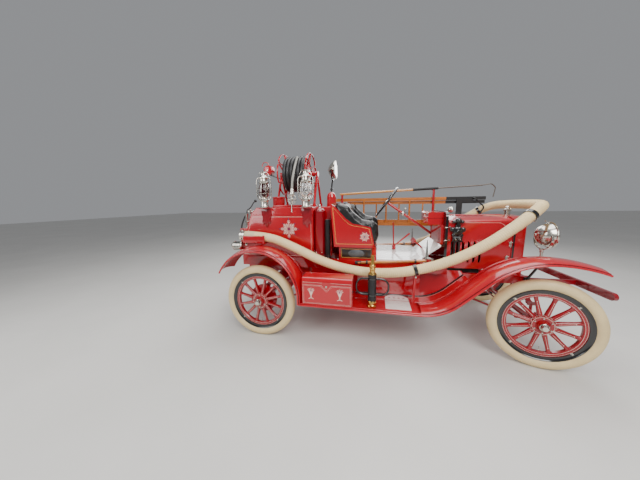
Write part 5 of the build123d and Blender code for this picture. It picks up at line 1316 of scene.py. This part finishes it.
def sheaf(form, centre, normal, size):
    """A generic painted sheaf: five blades over a waisted stem that stands on two feet."""
    centre, normal = Vector(centre), Vector(normal)
    up = Vector(UP)
    across = up.cross(normal).normalized()
    waist = centre - up * size * 0.2
    form.use(0)
    for lean, length, width in ((0.0, 0.66, 0.045), (0.16, 0.6, 0.05), (-0.16, 0.6, 0.05),
            (0.34, 0.52, 0.04), (-0.34, 0.52, 0.04)):
        ray = up * cos(lean) + across * sin(lean)
        leaf(form, waist + across * lean * size * 0.1, ray, normal, size * length, size * width, 0.7)
    for side in (-1, 1):
        leaf(form, centre + across * side * size * 0.13 + up * size * 0.2, across * side + up * 0.28, normal,
             size * 0.17, size * 0.035, 0.9)
        leaf(form, centre + across * side * size * 0.1 + up * size * 0.27, across * side + up * 0.9, normal,
             size * 0.15, size * 0.032, 0.9)
        leaf(form, waist - up * size * 0.18, across * side * 0.85 - up * 0.42, normal,
                size * 0.24, size * 0.05, 0.8)
    leaf(form, waist - up * size * 0.24, up, normal, size * 0.36, size * 0.075, 0.9)
    form.use(1)
    leaf(form, centre + up * size * 0.1, up, normal, size * 0.16, size * 0.07, 1.1)


SEAT_LINE = [(1036, 1141), (980, 1149), (934, 1158), (892, 1178), (853, 1212), (818, 1250), (786, 1288),
        (758, 1319), (730, 1346)]
SEAT_BASE = [(730, 1346), (766, 962), (1146, 962), (1108, 1124)]


class MakeSeatTrim(bpy.types.Operator):
    """Lines out the seat's sides, with a rosette on each, and the panel and bare plate under it"""
    bl_idname = "fire_engine.seat_trim"
    bl_label = "Seat Lines and Ornaments"

    def execute(self, context):
        form = both_sides(Form(), seat_trim)
        build(form, "seat_lines", ["gold_line", "cream_line", "blue_line", "panel",
                "dull_plate"], (), 40)
        return {"FINISHED"}


def seat_trim(form):
    face, out = -458.0, RIGHT
    curve = curve_through([(x, face, z) for x, z in SEAT_LINE], 4)
    outline = [Vector((x, face, z)) for x, z in SEAT_BASE] + curve
    middle = Vector((940, face, 1100))
    for shrink, width in ((1.0, 3.6), (0.965, 1.8)):
        line = [middle + (p - middle) * shrink for p in outline]
        form.use(0).stripe(line, out, width, 0.8, True)
    rosette = Vector((1062, face, 1042))
    for number in range(16):
        ray = Matrix.Rotation(tau * number / 16, 3, Vector(out)) @ Vector(UP)
        form.use(1)
        leaf(form, rosette + ray * 17, ray, out, 38 if number % 2 else 25, 7, 0.7)
        form.use(2)
        leaf(form, rosette + ray * 48, ray, out, 11, 5, 1.0)
    form.use(1).lathe([(11, 0), (11, 0.9), (15, 0.9), (15, 0)], rosette, out, 28, True)
    form.use(2).lathe([(8, 0.9), (8, 1.3), (0, 1.4)], rosette, out, 20)
    low, high, rear, front = 806.0, 916.0, 812.0, 1138.0
    face = -430.0
    form.use(3).block((rear, face - 1.6, low), (front, face + 0.5, high), 0.8)
    corners = [(rear + 9, low + 9), (front - 9, low + 9), (front - 9, high - 9), (rear + 9, high - 9)]
    form.use(0).stripe([(x, face - 1.6, z) for x, z in corners + corners[:1]], out, 4.0, 0.8)
    oval = [Vector((976 + 84 * cos(a), face - 1.2, 861 + 42 * sin(a))) for a in bearings(40)]
    form.use(4).extrude(oval, out, 3.0, 1.0, 2)
    middle = Vector((976, face - 4.2, 861))
    form.tube([middle + (Vector((p.x, face - 4.2, p.z)) - middle) * 0.93 for p in oval], 1.5, 6, True)
    for side in (-1, 1):
        form.bolt((976 + side * 70, face - 4.1, 861), out, 4, 2.5)


HOOD_REAR, HOOD_FRONT, HOOD_HALF_REAR, HOOD_HALF_FRONT = 1876.0, 2452.0, 290.0, 264.0
LOUVRES = [HOOD_REAR + 46.0 + 52.0 * number for number in range(6)]


def hood_half(x):
    return HOOD_HALF_REAR + (HOOD_HALF_FRONT - HOOD_HALF_REAR) * (x - HOOD_REAR) / (HOOD_FRONT - HOOD_REAR)


class MakeHoodTrim(bpy.types.Operator):
    """Presses the hood's louvres and adds its hinges, latches, handle and cream line"""
    bl_idname = "fire_engine.hood_trim"
    bl_label = "Hood Louvres and Fittings"

    def execute(self, context):
        form = both_sides(Form(), hood_side)
        form.use(0).tube([(HOOD_REAR + 2, 0, 1241), (HOOD_FRONT - 2, 0, 1241)], 4.0, 10)
        build(form, "hood_louvres", ["red", "nickel", "cream_line", "black"], (), 40)
        return {"FINISHED"}


def louvre(form, x):
    """One louvre: a pressed lip along the front and the ends of its slot, open to the rear."""
    rows = []
    for k in range(17):
        along = k / 16
        end = abs(2 * along - 1) ** 5
        lift = 10.0 * max(0.03, 1 - end ** 2) ** 0.5
        lip = 5.5 + 15.0 * end
        outer, inner = [], []
        for j in range(6):
            reach = j / 5
            station = x + 14 - lip * reach
            y = -hood_half(station) - lift * sin(reach * pi / 2)
            z = 772 + 224 * along
            outer.append(Vector((station, y - 1.0, z)))
            inner.append(Vector((station, y + 1.0, z)))
        rows.append(outer + inner[::-1])
    return form.grid(rows, True, True)


def hood_side(form):
    # A black sheet behind the louvres: painted shade seen through their slots.
    form.use(3).block((HOOD_REAR + 16, -255, 752), (2226, -250, 1012), 1.5)
    form.use(0)
    for x in LOUVRES:
        louvre(form, x)
    rear, front = -hood_half(HOOD_REAR) + 1, -hood_half(HOOD_FRONT) + 1
    form.tube([(HOOD_REAR + 2, rear, 1189), (HOOD_FRONT - 2, front, 1189)], 3.4, 8)
    line = [(HOOD_REAR + 10, 1177), (2340, 1177), (2436, 1112)]
    form.use(2).stripe([(x, -hood_half(x), z) for x, z in line], RIGHT, 2.2, 0.8)
    form.use(3).stripe([(2471, -262, 690), (2471, -262, 1164)], RIGHT, 16, 0.8)
    for x, z in ((2418, 832), (2441, 972)):
        y = -hood_half(x)
        form.use(1).block((x - 11, y - 7, z - 26), (x + 11, y + 0.5, z + 10), 3)
        form.lathe([(5, 0), (5, 46), (7, 48), (7, 56), (3, 60), (0, 60)], (x, y - 11, z - 34), UP, 14)
        form.tube([(x - 16, y - 12, z + 16), (x + 16, y - 12, z + 16)], 4, 10)
        form.bolt((x, y - 7, z - 18), RIGHT, 4.5, 3)


class MakeRadiator(bpy.types.Operator):
    """Fills the radiator with its finned tubes and adds the nickel window bead and the winged cap"""
    bl_idname = "fire_engine.radiator_core"
    bl_label = "Radiator Core and Cap"

    def execute(self, context):
        front = 2546.0
        core = Form()
        for number in range(66):
            z = 723 + 6.0 * number
            core.block((front - 0.5, -221, z), (front + 9, 221, z + 1.1), 0)
        for number in range(23):
            y = -209 + 19 * number
            core.block((front - 0.5, y - 2.6, 720), (front + 7, y + 2.6, 1117), 1.0, 1)
        build(core, "radiator_core", ["iron"], (), 30)
        cap = Form()
        cap.use(0).lathe([(26.6, 0), (26.6, 43), (33.6, 44.5), (33.6, 57.6), (27.5, 61), (15.4, 67.2),
                (14.8, 77), (20, 82.6), (19.6, 84), (11, 91.2), (0, 91.4)], (2509, 0, 1240), UP, 40)
        for angle in bearings(24):
            cap.tube([(2509 + 33.4 * cos(angle), 33.4 * sin(angle), z) for z in (1281, 1291)], 2.0, 6)
        wing = [(62.8, 1307), (36, 1308), (14, 1310), (-14, 1310), (-36, 1308), (-62.8, 1307), (-62.8, 1295),
                (-36, 1294), (-14, 1292), (14, 1292), (36, 1294), (62.8, 1295)]
        cap.extrude([(2502, y, z) for y, z in wing], AHEAD, 14, 1.2, 2)
        build(cap, "radiator_cap", ["nickel"], (), 30)
        trim = Form()
        window = ((-222, 719), (222, 719), (222, 1118), (-222, 1118))
        trim.tube([(2560.5, y, z) for y, z in window], 3.5, 8, True)
        build(trim, "radiator_window_bead", ["nickel"], (), 60)
        return {"FINISHED"}


PIPE_BASE = Vector((1150.0, -742.0, 426.0))


class MakePlayPipes(bpy.types.Operator):
    """Makes the play pipes: brass couplings and nozzles, a cord-wrapped barrel and two loop handles"""
    bl_idname = "fire_engine.play_pipes"
    bl_label = "Play Pipes"

    def execute(self, context):
        form = both_sides(Form(), play_pipe)
        build(form, "wrapped_play_pipes", ["brass", "rubber", "black"], ("play_pipes",), 30)
        return {"FINISHED"}


def play_pipe(form):
    form.use(0).lathe([(0, 0), (36, 0), (41, 6), (41, 22), (36, 28), (36, 40), (41, 46), (41, 56), (38, 62),
            (0, 62)], PIPE_BASE, UP, 40)
    for angle in bearings(4, 0.5):
        form.lathe([(6, 38), (6, 46), (4, 49), (0, 49)], PIPE_BASE + Vector((0, 0, 14)), outward(angle), 12)
    wrapped = [(36, 62)]
    for k in range(58):
        z = 63 + 4.4 * k
        wrapped += [(36.6, z), (38, z + 1.2), (38, z + 3.2)]
    form.use(1).lathe(wrapped + [(36, 318)], PIPE_BASE, UP, 32)
    form.use(2)
    for z in (110, 264):
        form.lathe([(37, z), (40, z + 1), (40, z + 15), (37, z + 16)], PIPE_BASE, UP, 40)
    form.use(0).lathe([(0, 316), (38.5, 316), (38.5, 319), (30, 330), (24, 336), (24, 352), (28, 358),
            (28, 374), (22, 380), (25, 388), (25, 400), (18, 410), (15.5, 450), (12.5, 488), (14, 490),
            (14, 495), (8, 495), (7, 440), (0, 440)], PIPE_BASE, UP, 40)
    form.use(2)
    for side in (-1, 1):
        loop = [(22, 118), (70, 118)]
        for x, z, start in ((78, 186, -90), (78, 204, 0)):
            loop += [(x + 68 * cos(radians(start + a)), z + 68 * sin(radians(start + a)))
                     for a in range(9, 90, 9)]
        loop += [(70, 272), (22, 272)]
        form.tube([PIPE_BASE + Vector((side * x, 0, z)) for x, z in loop], 9, 14)


class MakeAxes(bpy.types.Operator):
    """Makes the fire axes with swelled ash handles, steel heads and black clips"""
    bl_idname = "fire_engine.fire_axes"
    bl_label = "Fire Axes"

    def execute(self, context):
        form = both_sides(Form(), fire_axe)
        build(form, "clipped_fire_axes", ["wood", "steel", "iron", "dark_red"],
              ("fire_axes",), 35)
        return {"FINISHED"}


def fire_axe(form):
    rear, front, y = 1000.0, 1640.0, -500.0

    def lie(along):
        return Vector((rear + (front - rear) * along, y, 782 + 46 * along))

    def swell(along):
        return 0.84 + 0.2 * exp(-(along / 0.07) ** 2) + 0.1 * sin(along * 5.2) ** 2

    form.use(0).sweep([lie(k / 40) for k in range(41)], round_section(18, 20, 0.86), scale=swell)
    form.use(2).tube([lie(-0.045), lie(-0.02), lie(0.055)], 17.5, 18)
    form.use(0)
    eye = [(1636, 801), (1702, 806), (1708, 850), (1670, 862), (1638, 862)]
    form.use(1).extrude([(x, y - 13, z) for x, z in eye], LEFT, 26, 5, 3)
    rows = []
    for along in range(9):
        t = along / 8
        half, back, nose = 11 - 9.5 * t, 1640 + 6 * t, 1664 - 12 * t
        z = 858 + 172 * t
        rows.append([Vector(p) for p in ((back, y - half, z), (nose, y - half, z), (nose, y + half, z),
                (back, y + half, z))])
    form.grid(rows, True, True)
    form.block((1700, y - 4, 797), (1710.5, y + 4, 852), 2)
    form.use(3).extrude([(1644, y - 13.6, 812), (1692, y - 13.6, 815), (1692, y - 13.6, 846),
            (1644, y - 13.6, 850)], LEFT, 27.2, 4, 2)
    form.use(2)
    for x in (rear + 90, front - 90):
        middle = lie((x - rear) / (front - rear))
        form.block((x - 10, y + 4, middle.z - 6), (x + 10, -452.5, middle.z + 6), 2)
        band = [middle + Vector((0, 21 * cos(a), 19 * sin(a))) for a in bearings(24)]
        form.sweep(band, [(-9, -1.6), (9, -1.6), (9, 1.6), (-9, 1.6)], True,
                   [(p - middle).normalized() for p in band])
        form.lathe([(5, 0), (5, 4), (3.4, 6), (0, 6)], (x, -521, middle.z), RIGHT, 14)


class MakeSideValve(bpy.types.Operator):
    """Makes the black cluster of valve domes on the hood's side"""
    bl_idname = "fire_engine.side_valve"
    bl_label = "Side Valve Cluster"

    def execute(self, context):
        x, y, out = 1961.0, -291.0, RIGHT
        form = Form()
        form.use(0).lathe([(0, 0), (46, 0), (46, 22), (42, 29), (30, 33), (16, 34), (14, 38), (9, 40),
                (0, 40)], (x, y, 1095), out, 40)
        for angle in map(radians, range(90, 450, 72)):
            spot = (x + 50 * cos(angle), y - 4, 1095 + 50 * sin(angle))
            form.lathe([(0, 0), (24, 0), (24, 12), (22, 18), (16, 23), (8, 25), (0, 25.5)], spot, out, 28)
            form.use(1).bolt((spot[0], y - 29, spot[2]), out, 6, 4)
            form.use(0)
        for angle in map(radians, range(126, 486, 72)):
            form.use(1).bolt((x + 34 * cos(angle), y - 31, 1095 + 34 * sin(angle)), out, 4.5, 4)
        form.use(0).block((x - 45, y - 28, 985), (x + 45, y - 4, 1041), 6, 3)
        for dx in (-20, 20):
            form.lathe([(0, 0), (18, 0), (18, 6), (12, 12), (0, 13)], (x + dx, y - 27, 1012), out, 24)
            form.use(2).bolt((x + dx, y - 40, 1012), out, 6, 5)
            form.use(0).tube([(x + dx, y - 14, 990), (x + dx, y - 14, 860), (x + dx, y + 6, 838)], 11, 14)
        form.lathe([(18, 0), (18, 86), (0, 86)], (x, y - 14, 1128), UP, 24)
        form.lathe([(21, 0), (23, 3), (23, 11), (21, 14)], (x, y - 14, 1150), UP, 24, True)
        form.block((x - 48, y - 26, 1192), (x + 48, y - 2, 1204), 4)
        for dx in (-34, 34):
            form.lathe([(0, 0), (17, 4), (21, 14), (19, 24), (12, 31), (0, 34)],
                    (x + dx, y - 14, 1172), UP, 28)
        form.lathe([(0, 0), (26, 2), (30, 12), (30, 22), (24, 34), (12, 41), (0, 43)],
                (x, y - 14, 1183), UP, 32)
        build(form, "valve_domes", ["black", "iron", "nickel"], ("side_valve",), 30)
        return {"FINISHED"}


class MakeTopLamps(bpy.types.Operator):
    """Makes the nickel search lamp on its fork, the red bell with its bail, and the small lamp by the hood"""
    bl_idname = "fire_engine.top_lamps"
    bl_label = "Search Lamp, Bell and Small Lamp"

    def execute(self, context):
        form = Form()
        lamp = (560, 200, 1800)
        form.use(0).lathe([(0, 0), (16, 1), (46, 10), (76, 30), (98, 56), (106, 72), (110, 82), (115, 85),
                (117, 92), (115, 100), (108, 102), (105, 96), (100, 74), (80, 40), (46, 20),
                (0, 14)], lamp, AHEAD, 56)
        form.lathe([(0, 14), (12, 18), (14, 44), (8, 56), (0, 57)], lamp, AHEAD, 20)
        form.lathe([(0, -9), (7, -8), (9, -4), (9, 1)], lamp, AHEAD, 20)
        form.use(1).lathe([(107, 98), (80, 103), (46, 106), (0, 107.5), (0, 104.5), (46, 103), (80, 100),
                (106, 95)], lamp, AHEAD, 48)
        form.use(2)
        pivot = Vector((618, 200, 1800))
        fork = [pivot + Vector((0, 122 * sin(a), -122 * cos(a)))
                for a in (pi * (k / 20 - 0.5) for k in range(21))]
        form.sweep(fork, [(-8, -3), (8, -3), (8, 3), (-8, 3)],
                   normals=[(p - pivot).normalized() for p in fork])
        for side in (-1, 1):
            form.use(0).lathe([(0, 106), (11, 106), (11, 127), (8, 132), (0, 132)], pivot, (0, side, 0), 20)
        form.use(2).tube([(618, 200, 1678), (608, 200, 1640), (600, 200, 1560), (600, 200, 1350)], 9, 14)
        form.lathe([(0, 0), (26, 0), (26, 6), (14, 10), (14, 34), (0, 34)], (600, 200, 1348), UP, 24)
        form.lathe([(0, -12), (14, -12), (16, -8), (16, 8), (14, 12), (0, 12)], (600, 200, 1560), UP, 24)
        bell = (-190, 0, 1810)
        form.use(3).lathe([(0, 0), (24, 1), (50, 4), (60, 10), (62, 16), (62, 34), (64, 50), (66, 66),
                (66, 74), (62, 80), (60, 76), (56, 60), (52, 20), (0, 14)], bell, LEFT, 48)
        form.lathe([(54, 60), (58, 74), (52, 80), (30, 86), (0, 88)], bell, LEFT, 40)
        form.use(0).lathe([(0, -5), (10, -4), (12, 0), (12, 4)], bell, LEFT, 24)
        form.ring((-190, 76, 1810), 64, 2.4, LEFT, 48, 8)
        form.use(2).tube([(-190, 45, 1760), (-140, 38, 1742), (-70, 28, 1716), (-18, 22, 1700)], 9, 14)
        bail = [Vector((-238 + 44 * cos(a), 44, 1876 + 40 * sin(a)))
                for a in (radians(-52 + 256 * k / 26) for k in range(27))]
        form.use(3).tube(bail, 5.0, 12)
        ball = (2037, 250, 1287)
        form.use(0).lathe([(0, -36), (14, -33), (25, -25), (33, -12), (35.5, 0), (36.5, 3), (36.5, 9),
                (33, 10), (31, 4), (24, -14), (0, -22)], ball, AHEAD, 40)
        form.use(1).lathe([(33, 6), (28, 18), (18, 28), (8, 33), (0, 34), (0, 31), (17, 25), (26, 16),
                (31, 5)], ball, AHEAD, 36)
        form.use(2).tube([(1876.5, 250, 1265), (1990, 250, 1262), (2030, 250, 1266),
                (2037, 250, 1276)], 8, 12)
        build(form, "search_lamp_and_bell", ["nickel", "clear_glass", "black", "red"],
              ("top_lamps",), 32)
        return {"FINISHED"}


COLUMN_TOP = Vector((1296.0, 235.0, 1389.0))
COLUMN_SLOPE = radians(36.0)
COLUMN_DOWN = Vector((cos(COLUMN_SLOPE), 0, -sin(COLUMN_SLOPE)))


class MakeSteering(bpy.types.Operator):
    """Makes the black steering wheel with its finger grips and nickel hub, and the column's clamp and rod"""
    bl_idname = "fire_engine.steering"
    bl_label = "Steering Wheel and Column Clamp"

    def execute(self, context):
        across = Vector(LEFT)
        rise = COLUMN_DOWN.cross(across)
        form = Form()
        rim = [COLUMN_TOP + (across * cos(a) + rise * sin(a)) * 205 for a in bearings(144)]
        form.use(0).sweep(rim, round_section(12, 14), True, [(p - COLUMN_TOP).normalized() for p in rim],
                scale=lambda t: 0.97 + 0.035 * cos(t * tau * 36))
        for angle in map(radians, range(45, 405, 90)):
            ray = across * cos(angle) + rise * sin(angle)
            spokes = [COLUMN_TOP + ray * reach + COLUMN_DOWN * dip
                      for reach, dip in ((20, 6), (60, 8), (120, 6), (170, 2), (200, 0))]
            form.use(1).sweep(curve_through(spokes, 4), [(-8, -3), (-5, -4.5), (5, -4.5), (8, -3), (8, 3),
                    (5, 4.5), (-5, 4.5), (-8, 3)], normals=COLUMN_DOWN, scale=lambda t: 1.15 - 0.3 * t)
            form.lathe([(0, -4), (9, -4), (9, 6), (6, 10), (0, 10)], COLUMN_TOP + ray * 192, -ray, 14)
        form.use(1).lathe([(0, -18), (12, -17), (16, -13), (18, -9), (30, -8), (34, -4), (34, 12), (30, 19),
                (0, 19)], COLUMN_TOP, COLUMN_DOWN, 40)
        build(form, "black_steering_wheel", ["black", "nickel"], ("steering_wheel",), 40,
              "steering_wheel")
        clamp = Form()
        spot = COLUMN_TOP + COLUMN_DOWN * 226
        clamp.lathe([(15.5, 0), (24, 0), (26, 3), (26, 29), (24, 32), (15.5, 32)], spot,
                COLUMN_DOWN, 32, True)
        knob = spot + COLUMN_DOWN * 10
        clamp.tube([spot + COLUMN_DOWN * 16 + rise * 26, knob + rise * 58], 5, 10)
        clamp.lathe([(0, 0), (11, 2), (13, 10), (8, 18), (0, 20)], knob + rise * 54, rise, 20)
        build(clamp, "column_clamp", ["nickel"], (), 35)
        return {"FINISHED"}


class MakeRearFittings(bpy.types.Operator):
    """Makes the pump's rear fittings: hand valve, gauge, outlet cap, strainer and black relief tube"""
    bl_idname = "fire_engine.rear_fittings"
    bl_label = "Rear Valves, Gauge and Strainer"

    def execute(self, context):
        form = Form()
        deck, gauge = 1109.3, (-322, 200, 1240)
        form.use(0).lathe([(0, 0), (32, 0), (32, 6), (20, 9), (20, 60), (27, 64), (27, 76), (20, 80),
                (20, 134), (24, 138), (24, 148), (13, 152), (13, 210), (9, 214), (9, 222), (0, 222)],
                (-318, -260, deck), UP, 36)
        form.tube([(-362, -260, 1300), (-274, -260, 1300)], 7, 12)
        for x, side in ((-362, 1), (-274, -1)):
            form.lathe([(0, -3), (9, -1), (12, 6), (9, 13), (0, 15)], (x, -260, 1300), (side, 0, 0), 20)
        form.lathe([(0, 0), (30, 0), (30, 6), (18, 9), (18, 76), (13, 82), (13, 96), (0, 96)],
                (-322, 180, deck), UP, 32)
        form.lathe([(0, 0), (40, 0), (44, 4), (44, 36), (42, 40), (37, 40), (35, 36), (35, 33), (0, 33)],
                   gauge, RIGHT, 44)
        form.use(2).lathe([(35, 33.4), (0, 33.6)], gauge, RIGHT, 36)
        form.use(1)
        for angle in map(radians, range(-130, 156, 26)):
            ray = Vector((sin(angle), 0, cos(angle)))
            centre = Vector((-322, 166.4, 1240))
            form.stripe([centre + ray * 25, centre + ray * 31], RIGHT, 1.6, 0.6)
        form.stripe([(-326, 166.2, 1234), (-310, 166.2, 1258)], RIGHT, 2.2, 0.9)
        form.use(0).lathe([(0, 0.5), (52, 0.5), (52, 5), (44, 8), (40, 12.5), (22, 12.5), (18, 20), (0, 20)],
                (-371, 0, 960), BACK, 44)
        for angle in bearings(4):
            form.bolt((-376, 47 * cos(angle), 960 + 47 * sin(angle)), BACK, 6, 6)
        basket = Vector((-232, -600, 940))
        form.lathe([(0, 0), (30, 0), (40, 4), (46, 10), (50, 20), (50, 28), (47, 30), (47, 100), (50, 102),
                (50, 106), (42, 112), (34, 130), (26, 134), (0, 134)], basket, BACK, 44)
        # Black strips on the strainer's wall stand for its slots: painted shade in the openings.
        for angle in bearings(18):
            out = Vector((0, cos(angle), sin(angle)))
            wall = basket + out * 47
            form.use(1).stripe([wall - Vector((36, 0, 0)), wall - Vector((96, 0, 0))], out, 8, 0.8)
        form.use(0).tube([(-300, -430.5, 940), (-300, -600, 940)], 11, 14)
        form.lathe([(0, 0), (26, 0), (26, 5), (14, 8), (14, 14)], (-300, -430.5, 940), RIGHT, 28)
        form.lathe([(0, 0), (26, 0), (26, 5), (16, 8), (16, 60), (22, 64), (22, 78), (16, 82), (16, 150),
                (20, 154), (20, 168), (0, 172)], (-318, -350, deck), UP, 32)
        tube = [(-318, -350, 1270), (-306, -350, 1318), (-278, -350, 1336), (-252, -350, 1360),
                (-224, -350, 1400), (-200, -350, 1420)]
        form.use(3).tube(curve_through(tube, 5), 6, 12)
        form.lathe([(0, -15), (9, -13), (15, -6), (17, 2), (14, 11), (7, 16), (0, 17)], (-195, -350, 1423),
                   (0.7, 0, 0.6), 24)
        bend = [(-318, -350, 1262), (-342, -350, 1244), (-372, -352, 1184),
                (-392, -354, 1124), (-396, -356, 1066)]
        form.tube(curve_through(bend, 6), 9, 14)
        form.use(0).lathe([(0, 0), (13, 0), (15, 4), (15, 16), (13, 20), (0, 20)],
                (-396, -356, 1072), (0, 0, -1), 20)
        build(form, "pump_fittings", ["nickel", "black", "white", "rubber"],
              ("rear_fittings",), 32)
        return {"FINISHED"}


class MakeSmallFittings(bpy.types.Operator):
    """Adds the riser's sleeve, the chambers' bands, the hood's hooks, the bolts and the floor's joints"""
    bl_idname = "fire_engine.small_fittings"
    bl_label = "Small Fittings"

    def execute(self, context):
        sleeve = Form()
        ribs = [(20.6, 0)]
        for k in range(50):
            ribs += [(23.5, 8.2 * k + 1), (27, 8.2 * k + 3), (27, 8.2 * k + 6), (23.5, 8.2 * k + 8)]
        ribs += [(20.6, 412)]
        both_sides(sleeve, lambda form: form.lathe(ribs, (668, -406, 806), UP, 28))
        build(sleeve, "ribbed_riser_sleeve", ["rubber"], (), 40)
        nickel = both_sides(Form(), chamber_trim)
        coil_box_trim(nickel)
        for z in (820, 1000, 1130):
            both_sides(nickel, lambda form: hood_hook(form, z))
        for x, y, z in ((1541, -600, 700), (2440, -560, 1222)):
            both_sides(nickel, lambda form: form.bolt((x, y - 30, z), RIGHT, 9, 9))
        build(nickel, "nickel_small_fittings", ["nickel", "black", "dark_red"], (), 32)
        joints = Form()
        for number in range(9):
            y = -344 + 86 * number
            joints.stripe([(1184, y, 809), (1639, y, 809)], UP, 3.0, 0.6)
        joints.stripe([(1186, -424, 809.2), (1186, 424, 809.2)], UP, 6, 0.6)
        build(joints, "floor_joints", ["black_line"], (), 60)
        return {"FINISHED"}


def chamber_trim(form):
    foot = Vector((574, -370, 797))
    form.use(2)
    for z in (34, 500):
        form.lathe([(57.5, z), (60.5, z + 2), (60.5, z + 8), (57.5, z + 10)], foot, UP, 44, True)
    form.use(0).lathe([(0, 536), (16, 536), (16, 546), (10, 552), (10, 562), (14, 566), (12, 576),
            (0, 580)], foot, UP, 24)
    form.lathe([(0, 0), (30, 0), (30, 6), (25, 10), (25, 26), (27, 30), (27, 38), (22, 44), (0, 46)],
            (668, -406, 797), UP, 6)
    for angle in bearings(6):
        form.bolt(foot + Vector((60 * cos(angle), 60 * sin(angle), 60)), outward(angle), 5, 4)


def coil_box_trim(form):
    form.use(0).lathe([(0, 0), (12, 0), (12, 4), (8, 7), (0, 7)], (1699, -30, 1230), BACK, 24)
    form.use(1).stripe([(1846, -224.2, 1216), (1699, -224.2, 1216)], RIGHT, 2.2, 0.8)
    form.stripe([(1698.8, -224, 1216), (1698.8, 164, 1216)], BACK, 2.2, 0.8)


def hood_hook(form, z):
    """One of the nickel hooks that hold the hood's side to the dashboard."""
    form.use(0).tube(curve_through([(1892, -290, z), (1880, -304, z), (1862, -313, z), (1846, -312, z),
            (1842, -306, z - 10)], 4), 3.6, 10)
    form.lathe([(0, 0), (9, 0), (9, 4), (5, 7), (0, 7)], (1893, -288, z), RIGHT, 18)


class PaintFrame(bpy.types.Operator):
    """Gives every CAD node that stays in view its finish, and a softened edge where it has one"""
    bl_idname = "fire_engine.frame_paint"
    bl_label = "Paint of the Frame and Body"

    def execute(self, context):
        for finish, width, names in PAINTED:
            for name in names.split():
                piece = NODES[name]
                piece.data.materials.clear()
                piece.data.materials.append(FINISHES[finish])
                if width:
                    edge = piece.modifiers.new("edge", "BEVEL")
                    edge.width = width * MM
                    edge.segments = 2
                    edge.limit_method = "ANGLE"
                    edge.angle_limit = radians(50)
                    edge.harden_normals = True
        return {"FINISHED"}


PAINTED = (
    ("red", 1.5, "frame_rails front_axle"),
    ("dark_red", 2.0, "front_bumper"),
    ("red", 1.0, "rear_axle running_boards toolboxes toolbox_lid_left toolbox_lid_right"),
    ("red", 0.8, "leaf_springs hood ladder_stands knuckle_left knuckle_right"),
    ("iron", 2.0, "engine"),
    ("iron", 0.0, "exhaust pitman_arm"),
    ("red", 2.0, "radiator coil_box body_sills seat_riser seat_shell"),
    ("black", 2.0, "firewall"),
    ("white", 1.0, "floor_boards"),
    ("chamber_red", 0.0, "air_chambers"),
    ("red", 0.0, "front_fender_left front_fender_right rear_fender_left rear_fender_right reel_stand "
                 "steering_column tie_rod hand_levers"),
    ("banded_red", 0.8, "hose_supports"),
    ("nickel", 0.8, "hose_couplings"),
    ("ladder_wood", 2.0, "ladder"),
    ("pole_wood", 0.0, "pike_pole"),
)


STEPS = (SetStage, MakeSuctionHose, MakeReelLead, MakeWheels, MakeReel, MakeTank, MakeLanterns, MakeHeadlamps,
         MakeSeat, MakeBoards, MakeFenderTrim, MakeToolboxTrim, MakeSeatTrim, MakeHoodTrim, MakeRadiator,
         MakePlayPipes, MakeAxes, MakeSideValve, MakeTopLamps, MakeSteering, MakeRearFittings,
         MakeSmallFittings, PaintFrame)


class VIEW3D_PT_fire_engine(bpy.types.Panel):
    """Lists the making steps and the sizes and colours they read"""
    bl_label = "Fire Engine"
    bl_space_type = "VIEW_3D"
    bl_region_type = "UI"
    bl_category = "Fire Engine"

    def draw(self, context):
        layout = self.layout
        for group in (context.scene.fire_engine_colours, context.scene.fire_engine_sizes):
            box = layout.box()
            for name in group.__annotations__:
                box.prop(group, name)
        for step in STEPS:
            layout.operator(step.bl_idname)


CLASSES = (EngineColours, EngineSizes, *STEPS, VIEW3D_PT_fire_engine)


def register():
    for cls in CLASSES:
        bpy.utils.register_class(cls)
    bpy.types.Scene.fire_engine_colours = bpy.props.PointerProperty(type=EngineColours)
    bpy.types.Scene.fire_engine_sizes = bpy.props.PointerProperty(type=EngineSizes)


def unregister():
    del bpy.types.Scene.fire_engine_sizes
    del bpy.types.Scene.fire_engine_colours
    for cls in reversed(CLASSES):
        bpy.utils.unregister_class(cls)


def main():
    register()
    for step in STEPS:
        getattr(bpy.ops.fire_engine, step.bl_idname.split(".")[1])()


if __name__ == "__main__":
    main()
